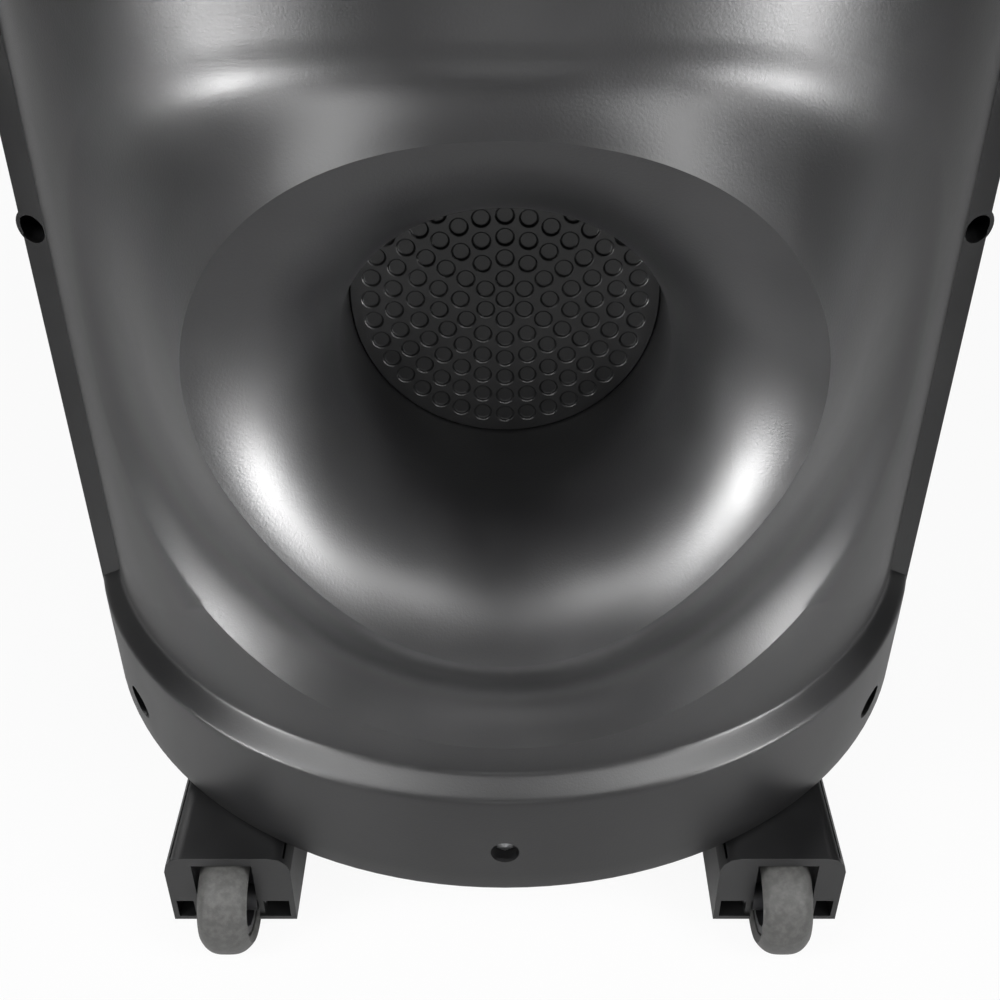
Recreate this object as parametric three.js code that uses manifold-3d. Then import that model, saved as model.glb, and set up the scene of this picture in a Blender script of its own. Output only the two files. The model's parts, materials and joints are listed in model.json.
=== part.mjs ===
// A trolley party speaker: a moulded cabinet in two half shells on two rear wheels and two front
// feet. The rear wall is half round in plan and holds a ring, a trough and a deep flared dish with a
// dimpled disc at its bottom. Units are millimetres, +Z is up and the rear faces -Y.
import * as THREE from 'three';
import { mergeVertices } from 'three/addons/utils/BufferGeometryUtils.js';
import Module from 'manifold-3d';

const wasm = await Module();
wasm.setup();

const RAD = Math.PI / 180;
const product = new THREE.Group();

// Walls and clearances
const WALL = 3.5;
const GAP = 0.3;
const OVERRUN = 2;

// Facets
const PLAN_STEP_DEG = 6;
const FILLET_STEPS = 3;
const INSIDE_FILLET_STEPS = 1;
const DISH_STEPS = 32;
const FLARE_STEPS = 5;
const FLARE_BACK_STEPS = 2;
const FLANK_STEPS = 6;
const FLANK_BACK_STEPS = 4;
const ROLL_STEPS = 3;
const FINE_SIDES = 20;
const DIMPLE_SIDES = 5;
const WOOFER_SIDES = 16;
const MID_SIDES = 12;
const COARSE_SIDES = 8;
const SMALL_SIDES = 6;

// Cabinet plan: a half-round rear, flared sides and a front frame with a domed grille
const SKIRT_RADIUS = 207;
const LEDGE_WIDTH = 9;
const ARC_HALF_DEG = 86;
const STEP_START_DEG = 70;
const STEP_TURN_DEG = 25;
const SEAM_BEYOND_CENTRE = 22;
const FRONT_DEPTH = 115;
const GRILLE_DOME = 16;
const WHEEL_OVERHANG = 2;
const INSET_RADIUS = SKIRT_RADIUS - LEDGE_WIDTH;
const OVERALL_DEPTH = WHEEL_OVERHANG + SKIRT_RADIUS + SEAM_BEYOND_CENTRE + FRONT_DEPTH + GRILLE_DOME;
const REAR_Y = WHEEL_OVERHANG - OVERALL_DEPTH / 2;
const ARC_CENTRE_Y = REAR_Y + SKIRT_RADIUS;
const INSET_Y = ARC_CENTRE_Y - INSET_RADIUS;
const SEAM_Y = ARC_CENTRE_Y + SEAM_BEYOND_CENTRE;
const FRONT_FRAME_Y = SEAM_Y + FRONT_DEPTH;

// Rear wheels and their housings
const WHEEL_DIAMETER = 50;
const WHEEL_WIDTH = 22;
const WHEEL_FROM_SIDE = 82.5;
const WHEEL_HEADROOM = 9;
const TYRE_THICKNESS = 8;
const TYRE_SIDE_SHARES = [[0, 0.85], [0.375, 1], [0.8125, 0.86], [1, 0.33]];
const AXLE_DIAMETER = 6;
const AXLE_CLEARANCE = 0.05;
const HUB_RIM_SHARE = 0.8;
const HUB_WEB = 5.5;
const HUB_OPENINGS = 5;
const SLOT_PLAY = 4.5;
const HOUSING_INSIDE = 30;
const HOUSING_OUTSIDE = 25.5;
const HOUSING_BEHIND_AXLE = 6;
const HOUSING_AHEAD_OF_AXLE = 72;
const HOUSING_BELOW_AXLE = 8.3;
const HOUSING_WALL = 2.5;
const HOUSING_CORNER = 9;
const WINDOW_ABOVE_AXLE = 4.7;
const SILL = 2.2;
const WHEEL_CENTRE_X = SKIRT_RADIUS - WHEEL_FROM_SIDE;
const AXLE_Y = WHEEL_DIAMETER / 2 - OVERALL_DEPTH / 2;
const AXLE_Z = WHEEL_DIAMETER / 2;
const SLOT_WIDTH = WHEEL_WIDTH + SLOT_PLAY;

// Skirt and ledge
const SKIRT_HEIGHT = 55;
const LEDGE_RISE = 8;
const BASE_FILLET = 3;
const TOP_FILLET = 14;
const BODY_BOTTOM = WHEEL_DIAMETER + WHEEL_HEADROOM;
const LEDGE_LOW = BODY_BOTTOM + SKIRT_HEIGHT;
const LEDGE_HIGH = LEDGE_LOW + LEDGE_RISE;

// Dish: a throat that flares to a crisp mouth, with a trough between the mouth and an egg-shaped rim
const STEP_TO_RIM = 36;
const TROUGH_WIDTH = 61.5;
const TROUGH_BELOW = 25.5;
const TROUGH_ABOVE = 50.5;
const LEDGE_TO_RIM = 14;
const DISH_LIFT = 21;
const FLARE_WIDTH = 39.5;
const FLARE_DEPTH = 70;
const FLARE_END_DEG = 25;
const THROAT_LENGTH = 39.5;
const DISC_SETBACK = 98.5;
const TROUGH_DEPTH = 9;
const TROUGH_TOP_SHARE = 0.15;
const TROUGH_LEAN_SHARE = 1.3;
const FLANK_LOW_SHARE = 0.7;
const FLANK_CURVE_SHARE = 1.8;
const MOUTH_LIFT_SHARE = 0.068;
const MOUTH_LOBE_SHARE = 0.053;
const RIM_LOW_POWER_SHARE = 2.2;
const RIM_HIGH_POWER_SHARE = 3;
const FLANGE_WIDTH = 7;
const RIM_HALF_WIDTH = INSET_RADIUS - STEP_TO_RIM;
const MOUTH_RADIUS = RIM_HALF_WIDTH - TROUGH_WIDTH;
const THROAT_RADIUS = MOUTH_RADIUS - FLARE_WIDTH;
const RIM_DROP = MOUTH_RADIUS + TROUGH_BELOW;
const RIM_RISE = MOUTH_RADIUS + TROUGH_ABOVE;
const RIM_CENTRE_Z = LEDGE_HIGH + LEDGE_TO_RIM + RIM_DROP;
const DISH_CENTRE_Z = RIM_CENTRE_Z + DISH_LIFT;
const DISC_FACE_Y = INSET_Y + DISC_SETBACK;
const THROAT_START_Y = DISC_FACE_Y - THROAT_LENGTH;
const CREST_Y = THROAT_START_Y - FLARE_DEPTH * Math.cos(FLARE_END_DEG * RAD);

// Dimpled disc
const DISC_THICKNESS = 4;
const DIMPLE_PITCH = 8.75;
const DIMPLE_DIAMETER = 6.8;
const DIMPLE_DEPTH = 1.5;

// Control panel in its recess
const PANEL_ABOVE_RIM = 53;
const PANEL_HEIGHT = 144;
const PANEL_HALF_WIDTH = 94;
const PANEL_EDGE_DEPTH = 3;
const PANEL_THICKNESS = 3;
const PANEL_SEAT = 9;
const KNOB_DIAMETER = 17;
const KNOB_HEIGHT = 14;
const KNOB_TOP_SHARE = 0.8;
const KNOB_EDGE_SHARE = 0.88;
const VOLUME_DIAMETER = 34;
const BUTTON_SIZE = 11;
const BUTTON_PROUD = 2;
const BUTTON_STROKE = 1.5;
const JACK_DIAMETER = 16;
const JACK_BORE = 6.6;
const SCREEN_WIDTH = 64;
const SCREEN_HEIGHT = 22;
const INLET_WIDTH = 24;
const INLET_HEIGHT = 16;
const INLET_DEPTH = 18;
const PIN_DIAMETER = 2.4;
const PIN_SPACING = 8.6;
const ROCKER_WIDTH = 13;
const ROCKER_HEIGHT = 17;
const ROCKER_PROUD = 2;
const USB_WIDTH = 14.5;
const USB_HEIGHT = 7;
const USB_SKIN = 0.5;
const PANEL_BOTTOM = RIM_CENTRE_Z + RIM_RISE + PANEL_ABOVE_RIM;
const PANEL_TOP = PANEL_BOTTOM + PANEL_HEIGHT;
const PANEL_Y = wallY(PANEL_HALF_WIDTH, 0) + PANEL_EDGE_DEPTH;
const PANEL_FACE_Y = PANEL_Y - GAP - PANEL_THICKNESS;

// Places on the panel, as shares of its height and of its half width
const KNOB_ROW_SHARE = 0.42;
const BUTTON_ROW_SHARE = 0.66;
const SOCKET_ROW_SHARE = 0.15;
const SCREEN_ROW_SHARE = 0.87;
const POST_ROW_SHARE = 0.25;
const INLET_COLUMN_SHARE = 0.72;
const ROCKER_COLUMN_SHARE = 0.34;
const USB_COLUMN_SHARE = 0.7;
const JACK_COLUMN_SHARES = { mic_jack: -0.78, guitar_jack: -0.48 };
const KNOB_COLUMN_SHARES = {
  mic_knob: -0.8, echo_knob: -0.52, bass_knob: 0.52, treble_knob: 0.8,
};
const BUTTON_COLUMN_SHARES = {
  mode_button: -0.6, previous_button: -0.3, play_button: 0, next_button: 0.3, light_button: 0.6,
};

// Trolley handle
const TOP_BAND = 80;
const TUBE_FROM_SIDE = 99;
const TUBE_SETBACK = 126;
const TUBE_DIAMETER = 18;
const TUBE_WALL = 1.4;
const GUIDE_WALL = 1.5;
const GUIDE_ABOVE_BATTERY = 69.2;
const GRIP_BEYOND_TUBE = 23;
const GRIP_WIDTH = 30;
const GRIP_HEIGHT = 24;
const GRIP_EDGE = 4.8;
const TRAY_DEPTH = 34;
const TRAY_MARGIN = 13;
const FINGER_ROOM = 18;
const TRAY_WALL = 2.5;
const LATCH_HALF_LENGTH = 22;
const LATCH_HALF_WIDTH = 6;
const LATCH_STROKE = 3;
const CABINET_TOP = PANEL_TOP + TOP_BAND;
const TUBE_CENTRE_X = SKIRT_RADIUS - TUBE_FROM_SIDE;
const TUBE_CENTRE_Y = INSET_Y + TUBE_SETBACK;
const GRIP_HALF_LENGTH = TUBE_CENTRE_X + GRIP_BEYOND_TUBE;
const TRAY_HALF_LENGTH = GRIP_HALF_LENGTH + TRAY_MARGIN;
const TRAY_HALF_WIDTH = GRIP_WIDTH / 2 + FINGER_ROOM + TRAY_WALL;
const TRAY_FLOOR = CABINET_TOP - TRAY_DEPTH;
const GRIP_BOTTOM = TRAY_FLOOR + 2 * GAP;
const GUIDE_INSIDE = TUBE_DIAMETER / 2 + GAP;

// Front shell, feet and grille
const FRONT_CORNER = 24;
const FRAME_DEPTH = 17;
const BAFFLE_THICKNESS = 9;
const BEZEL_WIDTH = 13;
const GRILLE_THICKNESS = 1.5;
const FOOT_FROM_SIDE = 77;
const FOOT_SETBACK = 47;
const FOOT_TOP_HALF = 26;
const FOOT_BASE_HALF = 21;
const PAD_HEIGHT = 8;
const PAD_DIAMETER = 34;
const BAFFLE_Y = FRONT_FRAME_Y - FRAME_DEPTH;
const BAFFLE_BACK_Y = BAFFLE_Y - BAFFLE_THICKNESS;
const FOOT_CENTRE_X = SKIRT_RADIUS - FOOT_FROM_SIDE;
const FOOT_CENTRE_Y = FRONT_FRAME_Y - FOOT_SETBACK;

// Carry handle in the top of the front shell
const CARRY_HALF_LENGTH = 78;
const CARRY_POCKET_HALF_WIDTH = 28;
const CARRY_POCKET_DEPTH = 44;
const CARRY_BAR_WIDTH = 24;
const CARRY_BAR_HEIGHT = 15;
const CARRY_CENTRE_Y = (SEAM_Y + GAP + BAFFLE_BACK_Y) / 2;

// Woofer and horn
const WOOFER_FROM_SIDE = 17;
const WOOFER_BASE = 23;
const WOOFER_RIM = 14;
const SURROUND_WIDTH = 22;
const CONE_DEPTH = 70;
const CAP_DIAMETER = 120;
const CAP_RISE = 20;
const CONE_STROKE = 4;
const MAGNET_DIAMETER = 156;
const MAGNET_THICKNESS = 20;
const BASKET_DEPTH = 104;
const BASKET_WINDOWS = 6;
const HORN_WIDTH = 250;
const HORN_HEIGHT = 108;
const HORN_DEPTH = 74;
const HORN_THROAT = 17.6;
const HORN_STEPS = 4;
const DRIVER_DIAMETER = 88;
const DRIVER_DEPTH = 44;
const WOOFER_RADIUS = SKIRT_RADIUS - WOOFER_FROM_SIDE;
const WOOFER_CENTRE_Z = BODY_BOTTOM + WOOFER_BASE + WOOFER_RADIUS;
const HORN_CENTRE_Z = (WOOFER_CENTRE_Z + WOOFER_RADIUS + CABINET_TOP) / 2;

// Battery, board and heat sink
const BATTERY_WIDTH = 151;
const BATTERY_DEPTH = 65;
const BATTERY_HEIGHT = 94;
const BATTERY_BEHIND_SEAM = 30.5;
const TERMINAL = 8;
const BOARD_MARGIN = 19;
const BOARD_THICKNESS = 1.6;
const BOARD_STAND_OFF = 16;
const POST_DIAMETER = 7;
const SINK_WIDTH = 96;
const SINK_DEPTH = 22;
const SINK_HEIGHT = 60;
const SINK_BASE = 4.4;
const FIN_THICKNESS = 4;
const FIN_PITCH = 13;
const BATTERY_BOTTOM = BODY_BOTTOM + WALL + GAP;
const BOARD_WIDTH = 2 * (PANEL_HALF_WIDTH - BOARD_MARGIN);
const BOARD_HEIGHT = PANEL_HEIGHT - 2 * BOARD_MARGIN;
const GUIDE_BOTTOM = BATTERY_BOTTOM + BATTERY_HEIGHT + GUIDE_ABOVE_BATTERY;

// Screws in round recesses: the seam's are deep, the base's is shallow
const RECESS_DIAMETER = 12;
const BASE_RECESS_DEPTH = 6;
const SCREW_HEAD = 8;
const HEAD_HEIGHT = 2.7;
const SCREW_SHANK = 4;
const SCREW_LENGTH = 16;
const BASE_SCREW_RISE = 24.7;
const LOWER_SCREW_RISE = 19;
const LOWER_SCREW_FROM_SIDE = 34;
const SIDE_SCREW_FROM_SIDE = 14.5;
const SIDE_SCREW_ABOVE_DISH = 14;
const UPPER_SCREW_BELOW_PANEL_TOP = 50;
const BASE_FLOOR_Y = REAR_Y + BASE_RECESS_DEPTH;
const SEAM_FLOOR_Y = SEAM_Y - 2 * WALL;

const seamPlaces = [[-1, 'left'], [1, 'right']].flatMap(([side, end]) => {
  const lowerX = side * (SKIRT_RADIUS - LOWER_SCREW_FROM_SIDE);
  const sideX = side * (SKIRT_RADIUS - SIDE_SCREW_FROM_SIDE);
  return [
    { name: `lower_screw_${end}`, x: lowerX, z: BODY_BOTTOM + LOWER_SCREW_RISE },
    { name: `side_screw_${end}`, x: sideX, z: DISH_CENTRE_Z + SIDE_SCREW_ABOVE_DISH },
    { name: `upper_screw_${end}`, x: sideX, z: PANEL_TOP - UPPER_SCREW_BELOW_PANEL_TOP },
  ];
}).map((place) => ({ ...place, floorY: SEAM_FLOOR_Y, endY: SEAM_Y }));
const screwPlaces = [
  {
    name: 'base_screw',
    x: 0,
    z: BODY_BOTTOM + BASE_SCREW_RISE,
    floorY: BASE_FLOOR_Y,
    endY: BASE_FLOOR_Y + SCREW_LENGTH + WALL,
  },
  ...seamPlaces,
];

// Materials
function plastic(color, roughness) {
  return new THREE.MeshStandardMaterial({ color, roughness, metalness: 0 });
}

function metal(color, roughness) {
  return new THREE.MeshStandardMaterial({ color, roughness, metalness: 0.9 });
}

const shellPlastic = () => plastic(0x1b1b1c, 0.55);
const wheelRubber = () => plastic(0x4b4a48, 0.85);
const darkRubber = () => plastic(0x161616, 0.9);
const trimPlastic = () => plastic(0x2a2a2c, 0.4);
const steel = () => metal(0x9a9a9c, 0.35);
const darkMetal = () => metal(0x2b2b2d, 0.5);

// Join shared vertices, drop the collapsed triangles and hand the closed mesh over for cutting.
function solid(geometry) {
  const bare = geometry.clone();
  bare.deleteAttribute('normal');
  bare.deleteAttribute('uv');
  const merged = mergeVertices(bare, GAP / 1000);
  const index = merged.index.array;
  const kept = [];
  for (let i = 0; i < index.length; i += 3) {
    const [a, b, c] = [index[i], index[i + 1], index[i + 2]];
    if (a !== b && b !== c && c !== a) kept.push(a, b, c);
  }
  return new wasm.Manifold(new wasm.Mesh({
    numProp: 3,
    vertProperties: new Float32Array(merged.attributes.position.array),
    triVerts: new Uint32Array(kept),
  }));
}

function addPiece(name, body, material) {
  const mesh = body.getMesh();
  const geometry = new THREE.BufferGeometry();
  geometry.setAttribute('position', new THREE.BufferAttribute(new Float32Array(mesh.vertProperties), 3));
  geometry.setIndex(new THREE.BufferAttribute(new Uint32Array(mesh.triVerts), 1));
  geometry.computeVertexNormals();
  const piece = new THREE.Mesh(geometry, material);
  piece.name = name;
  product.add(piece);
}

function block(x0, x1, y0, y1, z0, z1) {
  const geometry = new THREE.BoxGeometry(x1 - x0, y1 - y0, z1 - z0);
  geometry.translate((x0 + x1) / 2, (y0 + y1) / 2, (z0 + z1) / 2);
  return solid(geometry);
}

// A block centred at [x, z] with the given half sizes, from y0 to y1.
function blockAt(x, z, halfX, halfZ, y0, y1) {
  return block(x - halfX, x + halfX, y0, y1, z - halfZ, z + halfZ);
}

// A round bar from start to end along one axis; the two other coordinates follow in x, y, z order.
function bar(axis, radius, start, end, first, second, sides = FINE_SIDES) {
  const geometry = new THREE.CylinderGeometry(radius, radius, end - start, sides);
  const middle = (start + end) / 2;
  if (axis === 'x') {
    geometry.rotateZ(-Math.PI / 2);
    geometry.translate(middle, first, second);
  } else if (axis === 'y') {
    geometry.translate(first, middle, second);
  } else {
    geometry.rotateX(Math.PI / 2);
    geometry.translate(first, second, middle);
  }
  return solid(geometry);
}

// A turned piece: profile points are [radius, distance along the axis].
function turned(profile, axis, x, y, z, sides = FINE_SIDES) {
  const geometry = new THREE.LatheGeometry(profile.map(([r, h]) => new THREE.Vector2(r, h)), sides);
  if (axis === 'x') geometry.rotateZ(-Math.PI / 2);
  if (axis === 'z') geometry.rotateX(Math.PI / 2);
  geometry.translate(x, y, z);
  return solid(outward(geometry));
}

// Turn the triangles over where a profile was drawn the other way round.
function outward(geometry) {
  const p = geometry.attributes.position;
  const index = geometry.index.array;
  const [a, b, c] = [new THREE.Vector3(), new THREE.Vector3(), new THREE.Vector3()];
  let volume = 0;
  for (let i = 0; i < index.length; i += 3) {
    a.fromBufferAttribute(p, index[i]);
    b.fromBufferAttribute(p, index[i + 1]);
    c.fromBufferAttribute(p, index[i + 2]);
    volume += a.dot(b.cross(c));
  }
  if (volume < 0) {
    for (let i = 0; i < index.length; i += 3) {
      [index[i], index[i + 1]] = [index[i + 1], index[i]];
    }
  }
  return geometry;
}

function closed(positions, index) {
  const geometry = new THREE.BufferGeometry();
  geometry.setAttribute('position', new THREE.BufferAttribute(new Float32Array(positions), 3));
  geometry.setIndex(index);
  return solid(outward(geometry));
}

// The triangles between rings of equal length.
function bands(ringCount, count) {
  const index = [];
  for (let i = 0; i + 1 < ringCount; i += 1) {
    for (let j = 0; j < count; j += 1) {
      const a = i * count + j;
      const b = i * count + (j + 1) % count;
      index.push(a, b, b + count, a, b + count, a + count);
    }
  }
  return index;
}

// A closed skin through rings of [x, y, z] points: the first and last ring are a point, or alike.
function skinned(rings) {
  return closed(rings.flat(2), bands(rings.length, rings[0].length));
}

// A closed solid through level outlines of equal length, each a list of [x, y] at its own height.
function lofted(outlines, heights) {
  const count = outlines[0].length;
  const positions = outlines.flatMap((outline, i) => outline.flatMap(([x, y]) => [x, y, heights[i]]));
  const index = bands(outlines.length, count);
  const last = (outlines.length - 1) * count;
  const flat = (outline) => outline.map(([x, y]) => new THREE.Vector2(x, y));
  for (const [a, b, c] of THREE.ShapeUtils.triangulateShape(flat(outlines[0]), [])) index.push(a, c, b);
  for (const [a, b, c] of THREE.ShapeUtils.triangulateShape(flat(outlines.at(-1)), [])) {
    index.push(last + a, last + b, last + c);
  }
  return closed(positions, index);
}

// A rectangle with round corners as a list of [x, y].
function roundedOutline(x0, x1, y0, y1, radius, steps = FILLET_STEPS) {
  const points = [];
  const corners = [[x1 - radius, y1 - radius, 0], [x0 + radius, y1 - radius, Math.PI / 2],
    [x0 + radius, y0 + radius, Math.PI], [x1 - radius, y0 + radius, -Math.PI / 2]];
  for (const [cx, cy, start] of corners) {
    for (let i = 0; i <= steps; i += 1) {
      const angle = start + Math.PI / 2 * i / steps;
      points.push([cx + radius * Math.cos(angle), cy + radius * Math.sin(angle)]);
    }
  }
  return points;
}

// A rounded rectangle centred at [x, y], from its half sizes.
function roundedAt(x, y, halfX, halfY, radius, steps = FILLET_STEPS) {
  return roundedOutline(x - halfX, x + halfX, y - halfY, y + halfY, radius, steps);
}

// A level outline made solid so that its height runs along the depth: its second axis becomes z.
function facingRear(outline, y0, y1) {
  const shape = new THREE.Shape(outline.map(([x, z]) => new THREE.Vector2(x, z)));
  const geometry = new THREE.ExtrudeGeometry(shape, { depth: y1 - y0, bevelEnabled: false });
  geometry.rotateX(Math.PI / 2);
  geometry.translate(0, y1, 0);
  return solid(geometry);
}

function extrudedUp(outline, z0, z1) {
  const shape = new THREE.Shape(outline.map(([x, y]) => new THREE.Vector2(x, y)));
  const geometry = new THREE.ExtrudeGeometry(shape, { depth: z1 - z0, bevelEnabled: false });
  geometry.translate(0, 0, z0);
  return solid(geometry);
}

// Points of an arc from one angle to another as [radius times cosine, radius times sine].
function arc(radius, from, to, steps) {
  return Array.from({ length: steps + 1 }, (_, i) => {
    const turn = from + (to - from) * i / steps;
    return [radius * Math.cos(turn), radius * Math.sin(turn)];
  });
}

// The plan of the cabinet

function arcPoint(radius, degrees) {
  return [radius * Math.sin(degrees * RAD), ARC_CENTRE_Y - radius * Math.cos(degrees * RAD)];
}

// Half width of the flared side wall at a distance along the depth.
function sideHalfWidth(y) {
  const [x, startY] = arcPoint(SKIRT_RADIUS, ARC_HALF_DEG);
  return x + (y - startY) / Math.tan(ARC_HALF_DEG * RAD);
}

// The facets of the inset rear wall at a distance from the middle plane, at a depth below its surface.
function wallY(x, depth) {
  const radius = INSET_RADIUS - depth;
  const facet = Math.floor(Math.asin(x / radius) / RAD / PLAN_STEP_DEG);
  const [startX, startY] = arcPoint(radius, facet * PLAN_STEP_DEG);
  const [endX, endY] = arcPoint(radius, (facet + 1) * PLAN_STEP_DEG);
  return startY + (endY - startY) * (x - startX) / (endX - startX);
}

// The rear half of the plan, moved inwards by an inset, with its open end at the given y.
function rearPlan(inset, endY) {
  const whole = Math.floor(ARC_HALF_DEG / PLAN_STEP_DEG);
  const points = [arcPoint(SKIRT_RADIUS - inset, -ARC_HALF_DEG)];
  for (let i = -whole; i <= whole; i += 1) {
    points.push(arcPoint(SKIRT_RADIUS - inset, PLAN_STEP_DEG * i));
  }
  points.push(arcPoint(SKIRT_RADIUS - inset, ARC_HALF_DEG));
  const half = sideHalfWidth(endY) - inset / Math.sin(ARC_HALF_DEG * RAD);
  points.push([half, endY], [-half, endY]);
  return points;
}

// The front half of the plan, from the seam to the rounded front corners.
function frontPlan(inset, startY) {
  const startHalf = sideHalfWidth(startY) - inset;
  const cornerY = FRONT_FRAME_Y - FRONT_CORNER;
  const radius = FRONT_CORNER - inset;
  const centreX = sideHalfWidth(cornerY) - FRONT_CORNER;
  const right = arc(radius, 0, Math.PI / 2, FILLET_STEPS).map(([x, y]) => [centreX + x, cornerY + y]);
  const left = right.map(([x, y]) => [-x, y]).reverse();
  return [[-startHalf, startY], [startHalf, startY], ...right, ...left];
}

// A cabinet half with a fillet along its top and bottom edges.
function filleted(plan, bottom, top, baseFillet, topFillet, steps) {
  const low = arc(baseFillet, 0, Math.PI / 2, steps)
    .map(([along, out]) => [baseFillet - out, bottom + baseFillet - along]);
  const high = arc(topFillet, 0, Math.PI / 2, steps)
    .map(([along, up]) => [topFillet - along, top - topFillet + up]);
  const levels = [...low, ...high];
  return lofted(levels.map(([inset]) => plan(inset)), levels.map(([, height]) => height));
}

// What the inset above the ledge takes away: a ring round the arc centre, kept to the rear of the
// two side steps. A depth moves every one of its faces into the wall by that much.
function insetCutter(depth) {
  const rimRadius = SKIRT_RADIUS + 2 * TOP_FILLET;
  const slope = LEDGE_RISE / LEDGE_WIDTH;
  const radius = INSET_RADIUS - depth;
  const top = CABINET_TOP + OVERRUN + depth;
  const low = LEDGE_LOW - depth;
  const profile = [[radius, LEDGE_HIGH - depth], [SKIRT_RADIUS - depth, low],
    [rimRadius, low - slope * (rimRadius - SKIRT_RADIUS)], [rimRadius, top],
    [radius, top], [radius, LEDGE_HIGH - depth]];
  const ring = turned(profile, 'z', 0, ARC_CENTRE_Y, 0, 360 / PLAN_STEP_DEG);
  const [x, y] = arcPoint(INSET_RADIUS, STEP_START_DEG);
  const turn = STEP_TURN_DEG * RAD;
  const stepX = x - depth * Math.sin(turn);
  const stepY = y + depth * Math.cos(turn);
  const farX = stepX + SKIRT_RADIUS * Math.cos(turn);
  const farY = stepY + SKIRT_RADIUS * Math.sin(turn);
  const wedge = [[-farX, -farX], [farX, -farX], [farX, farY], [stepX, stepY],
    [-stepX, stepY], [-farX, farY]];
  return ring.intersect(extrudedUp(wedge, 0, top + OVERRUN));
}

// The dish and its trough

// Distance of the crisp mouth edge from the dish axis; the angle runs from straight down.
function mouthRadius(angle) {
  return MOUTH_RADIUS * (1 - MOUTH_LIFT_SHARE * Math.cos(angle) + MOUTH_LOBE_SHARE * Math.cos(3 * angle));
}

// The egg-shaped outer edge of the trough, moved outwards by a margin.
function rimPoint(angle, margin) {
  const down = Math.cos(angle) > 0;
  const power = down ? RIM_LOW_POWER_SHARE : RIM_HIGH_POWER_SHARE;
  const height = (down ? RIM_DROP : RIM_RISE) + margin;
  const width = RIM_HALF_WIDTH + margin;
  const u = Math.abs(Math.sin(angle)) / width;
  const v = Math.abs(Math.cos(angle)) / height;
  const radius = (u ** power + v ** power) ** (-1 / power);
  return [radius * Math.sin(angle), RIM_CENTRE_Z - radius * Math.cos(angle)];
}

// One section of the moulding as [x, y, z] points, from the axis out to the rim. The flare is a
// quarter ellipse cut short at the mouth. From there the flank falls to the wall, less and less
// steeply, and the trough is a half wave that leans outwards and is deepest at the bottom.
function dishSection(angle, depth, flareSteps, flankSteps) {
  const along = [Math.sin(angle), -Math.cos(angle)];
  const place = (radius, y) => [radius * along[0], y, DISH_CENTRE_Z + radius * along[1]];
  const floorY = DISC_FACE_Y + DISC_THICKNESS + GAP + depth;
  const throat = THROAT_RADIUS + depth;
  const bend = FLARE_DEPTH - depth;
  const end = FLARE_END_DEG * RAD;
  const spread = (mouthRadius(angle) - THROAT_RADIUS) / (FLARE_DEPTH * (1 - Math.sin(end)));
  const points = [place(0, floorY), place(throat, floorY), place(throat, THROAT_START_Y)];
  for (const [across, sunk] of arc(bend, Math.PI / 2, end, flareSteps).slice(1)) {
    points.push(place(THROAT_RADIUS + (FLARE_DEPTH - sunk) * spread, THROAT_START_Y - across));
  }
  const edge = place(mouthRadius(angle), CREST_Y);
  const rim = rimPoint(angle, -GAP);
  const rise = wallY(edge[0], 0) - CREST_Y;
  const low = (1 + Math.cos(angle)) / 2;
  const flank = 1 + (FLANK_LOW_SHARE - 1) * low;
  const hollow = TROUGH_DEPTH * (TROUGH_TOP_SHARE + (1 - TROUGH_TOP_SHARE) * low);
  for (let i = 1; i <= flankSteps; i += 1) {
    const s = i / flankSteps;
    const x = edge[0] + (rim[0] - edge[0]) * s;
    const z = edge[2] + (rim[1] - edge[2]) * s;
    const fall = Math.max(0, 1 - s / flank) ** FLANK_CURVE_SHARE;
    const wave = Math.sin(Math.PI * s ** TROUGH_LEAN_SHARE);
    points.push([x, wallY(x, depth) - rise * fall + hollow * wave, z]);
  }
  return points;
}

// Swap a list of sections, one for each angle, into a list of rings.
function ringsOf(sections) {
  return sections[0].map((_, i) => sections.map((section) => section[i]));
}

function anglesRound(count) {
  return Array.from({ length: count }, (_, i) => 2 * Math.PI * i / count);
}

// A round recess for a screw: a tube from the wall to its end, with a floor and the screw's hole.
function addScrewTube(shell, outer, { x, z, floorY, endY }) {
  const tube = bar('y', RECESS_DIAMETER / 2 + WALL, -OVERALL_DEPTH, endY, x, z, COARSE_SIDES);
  const recess = bar('y', RECESS_DIAMETER / 2, -OVERALL_DEPTH, floorY, x, z, COARSE_SIDES);
  const hole = bar('y', SCREW_SHANK / 2 + GAP, floorY - OVERRUN, endY + OVERRUN, x, z, SMALL_SIDES);
  return shell.add(tube.intersect(outer)).subtract(recess).subtract(hole);
}

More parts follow.
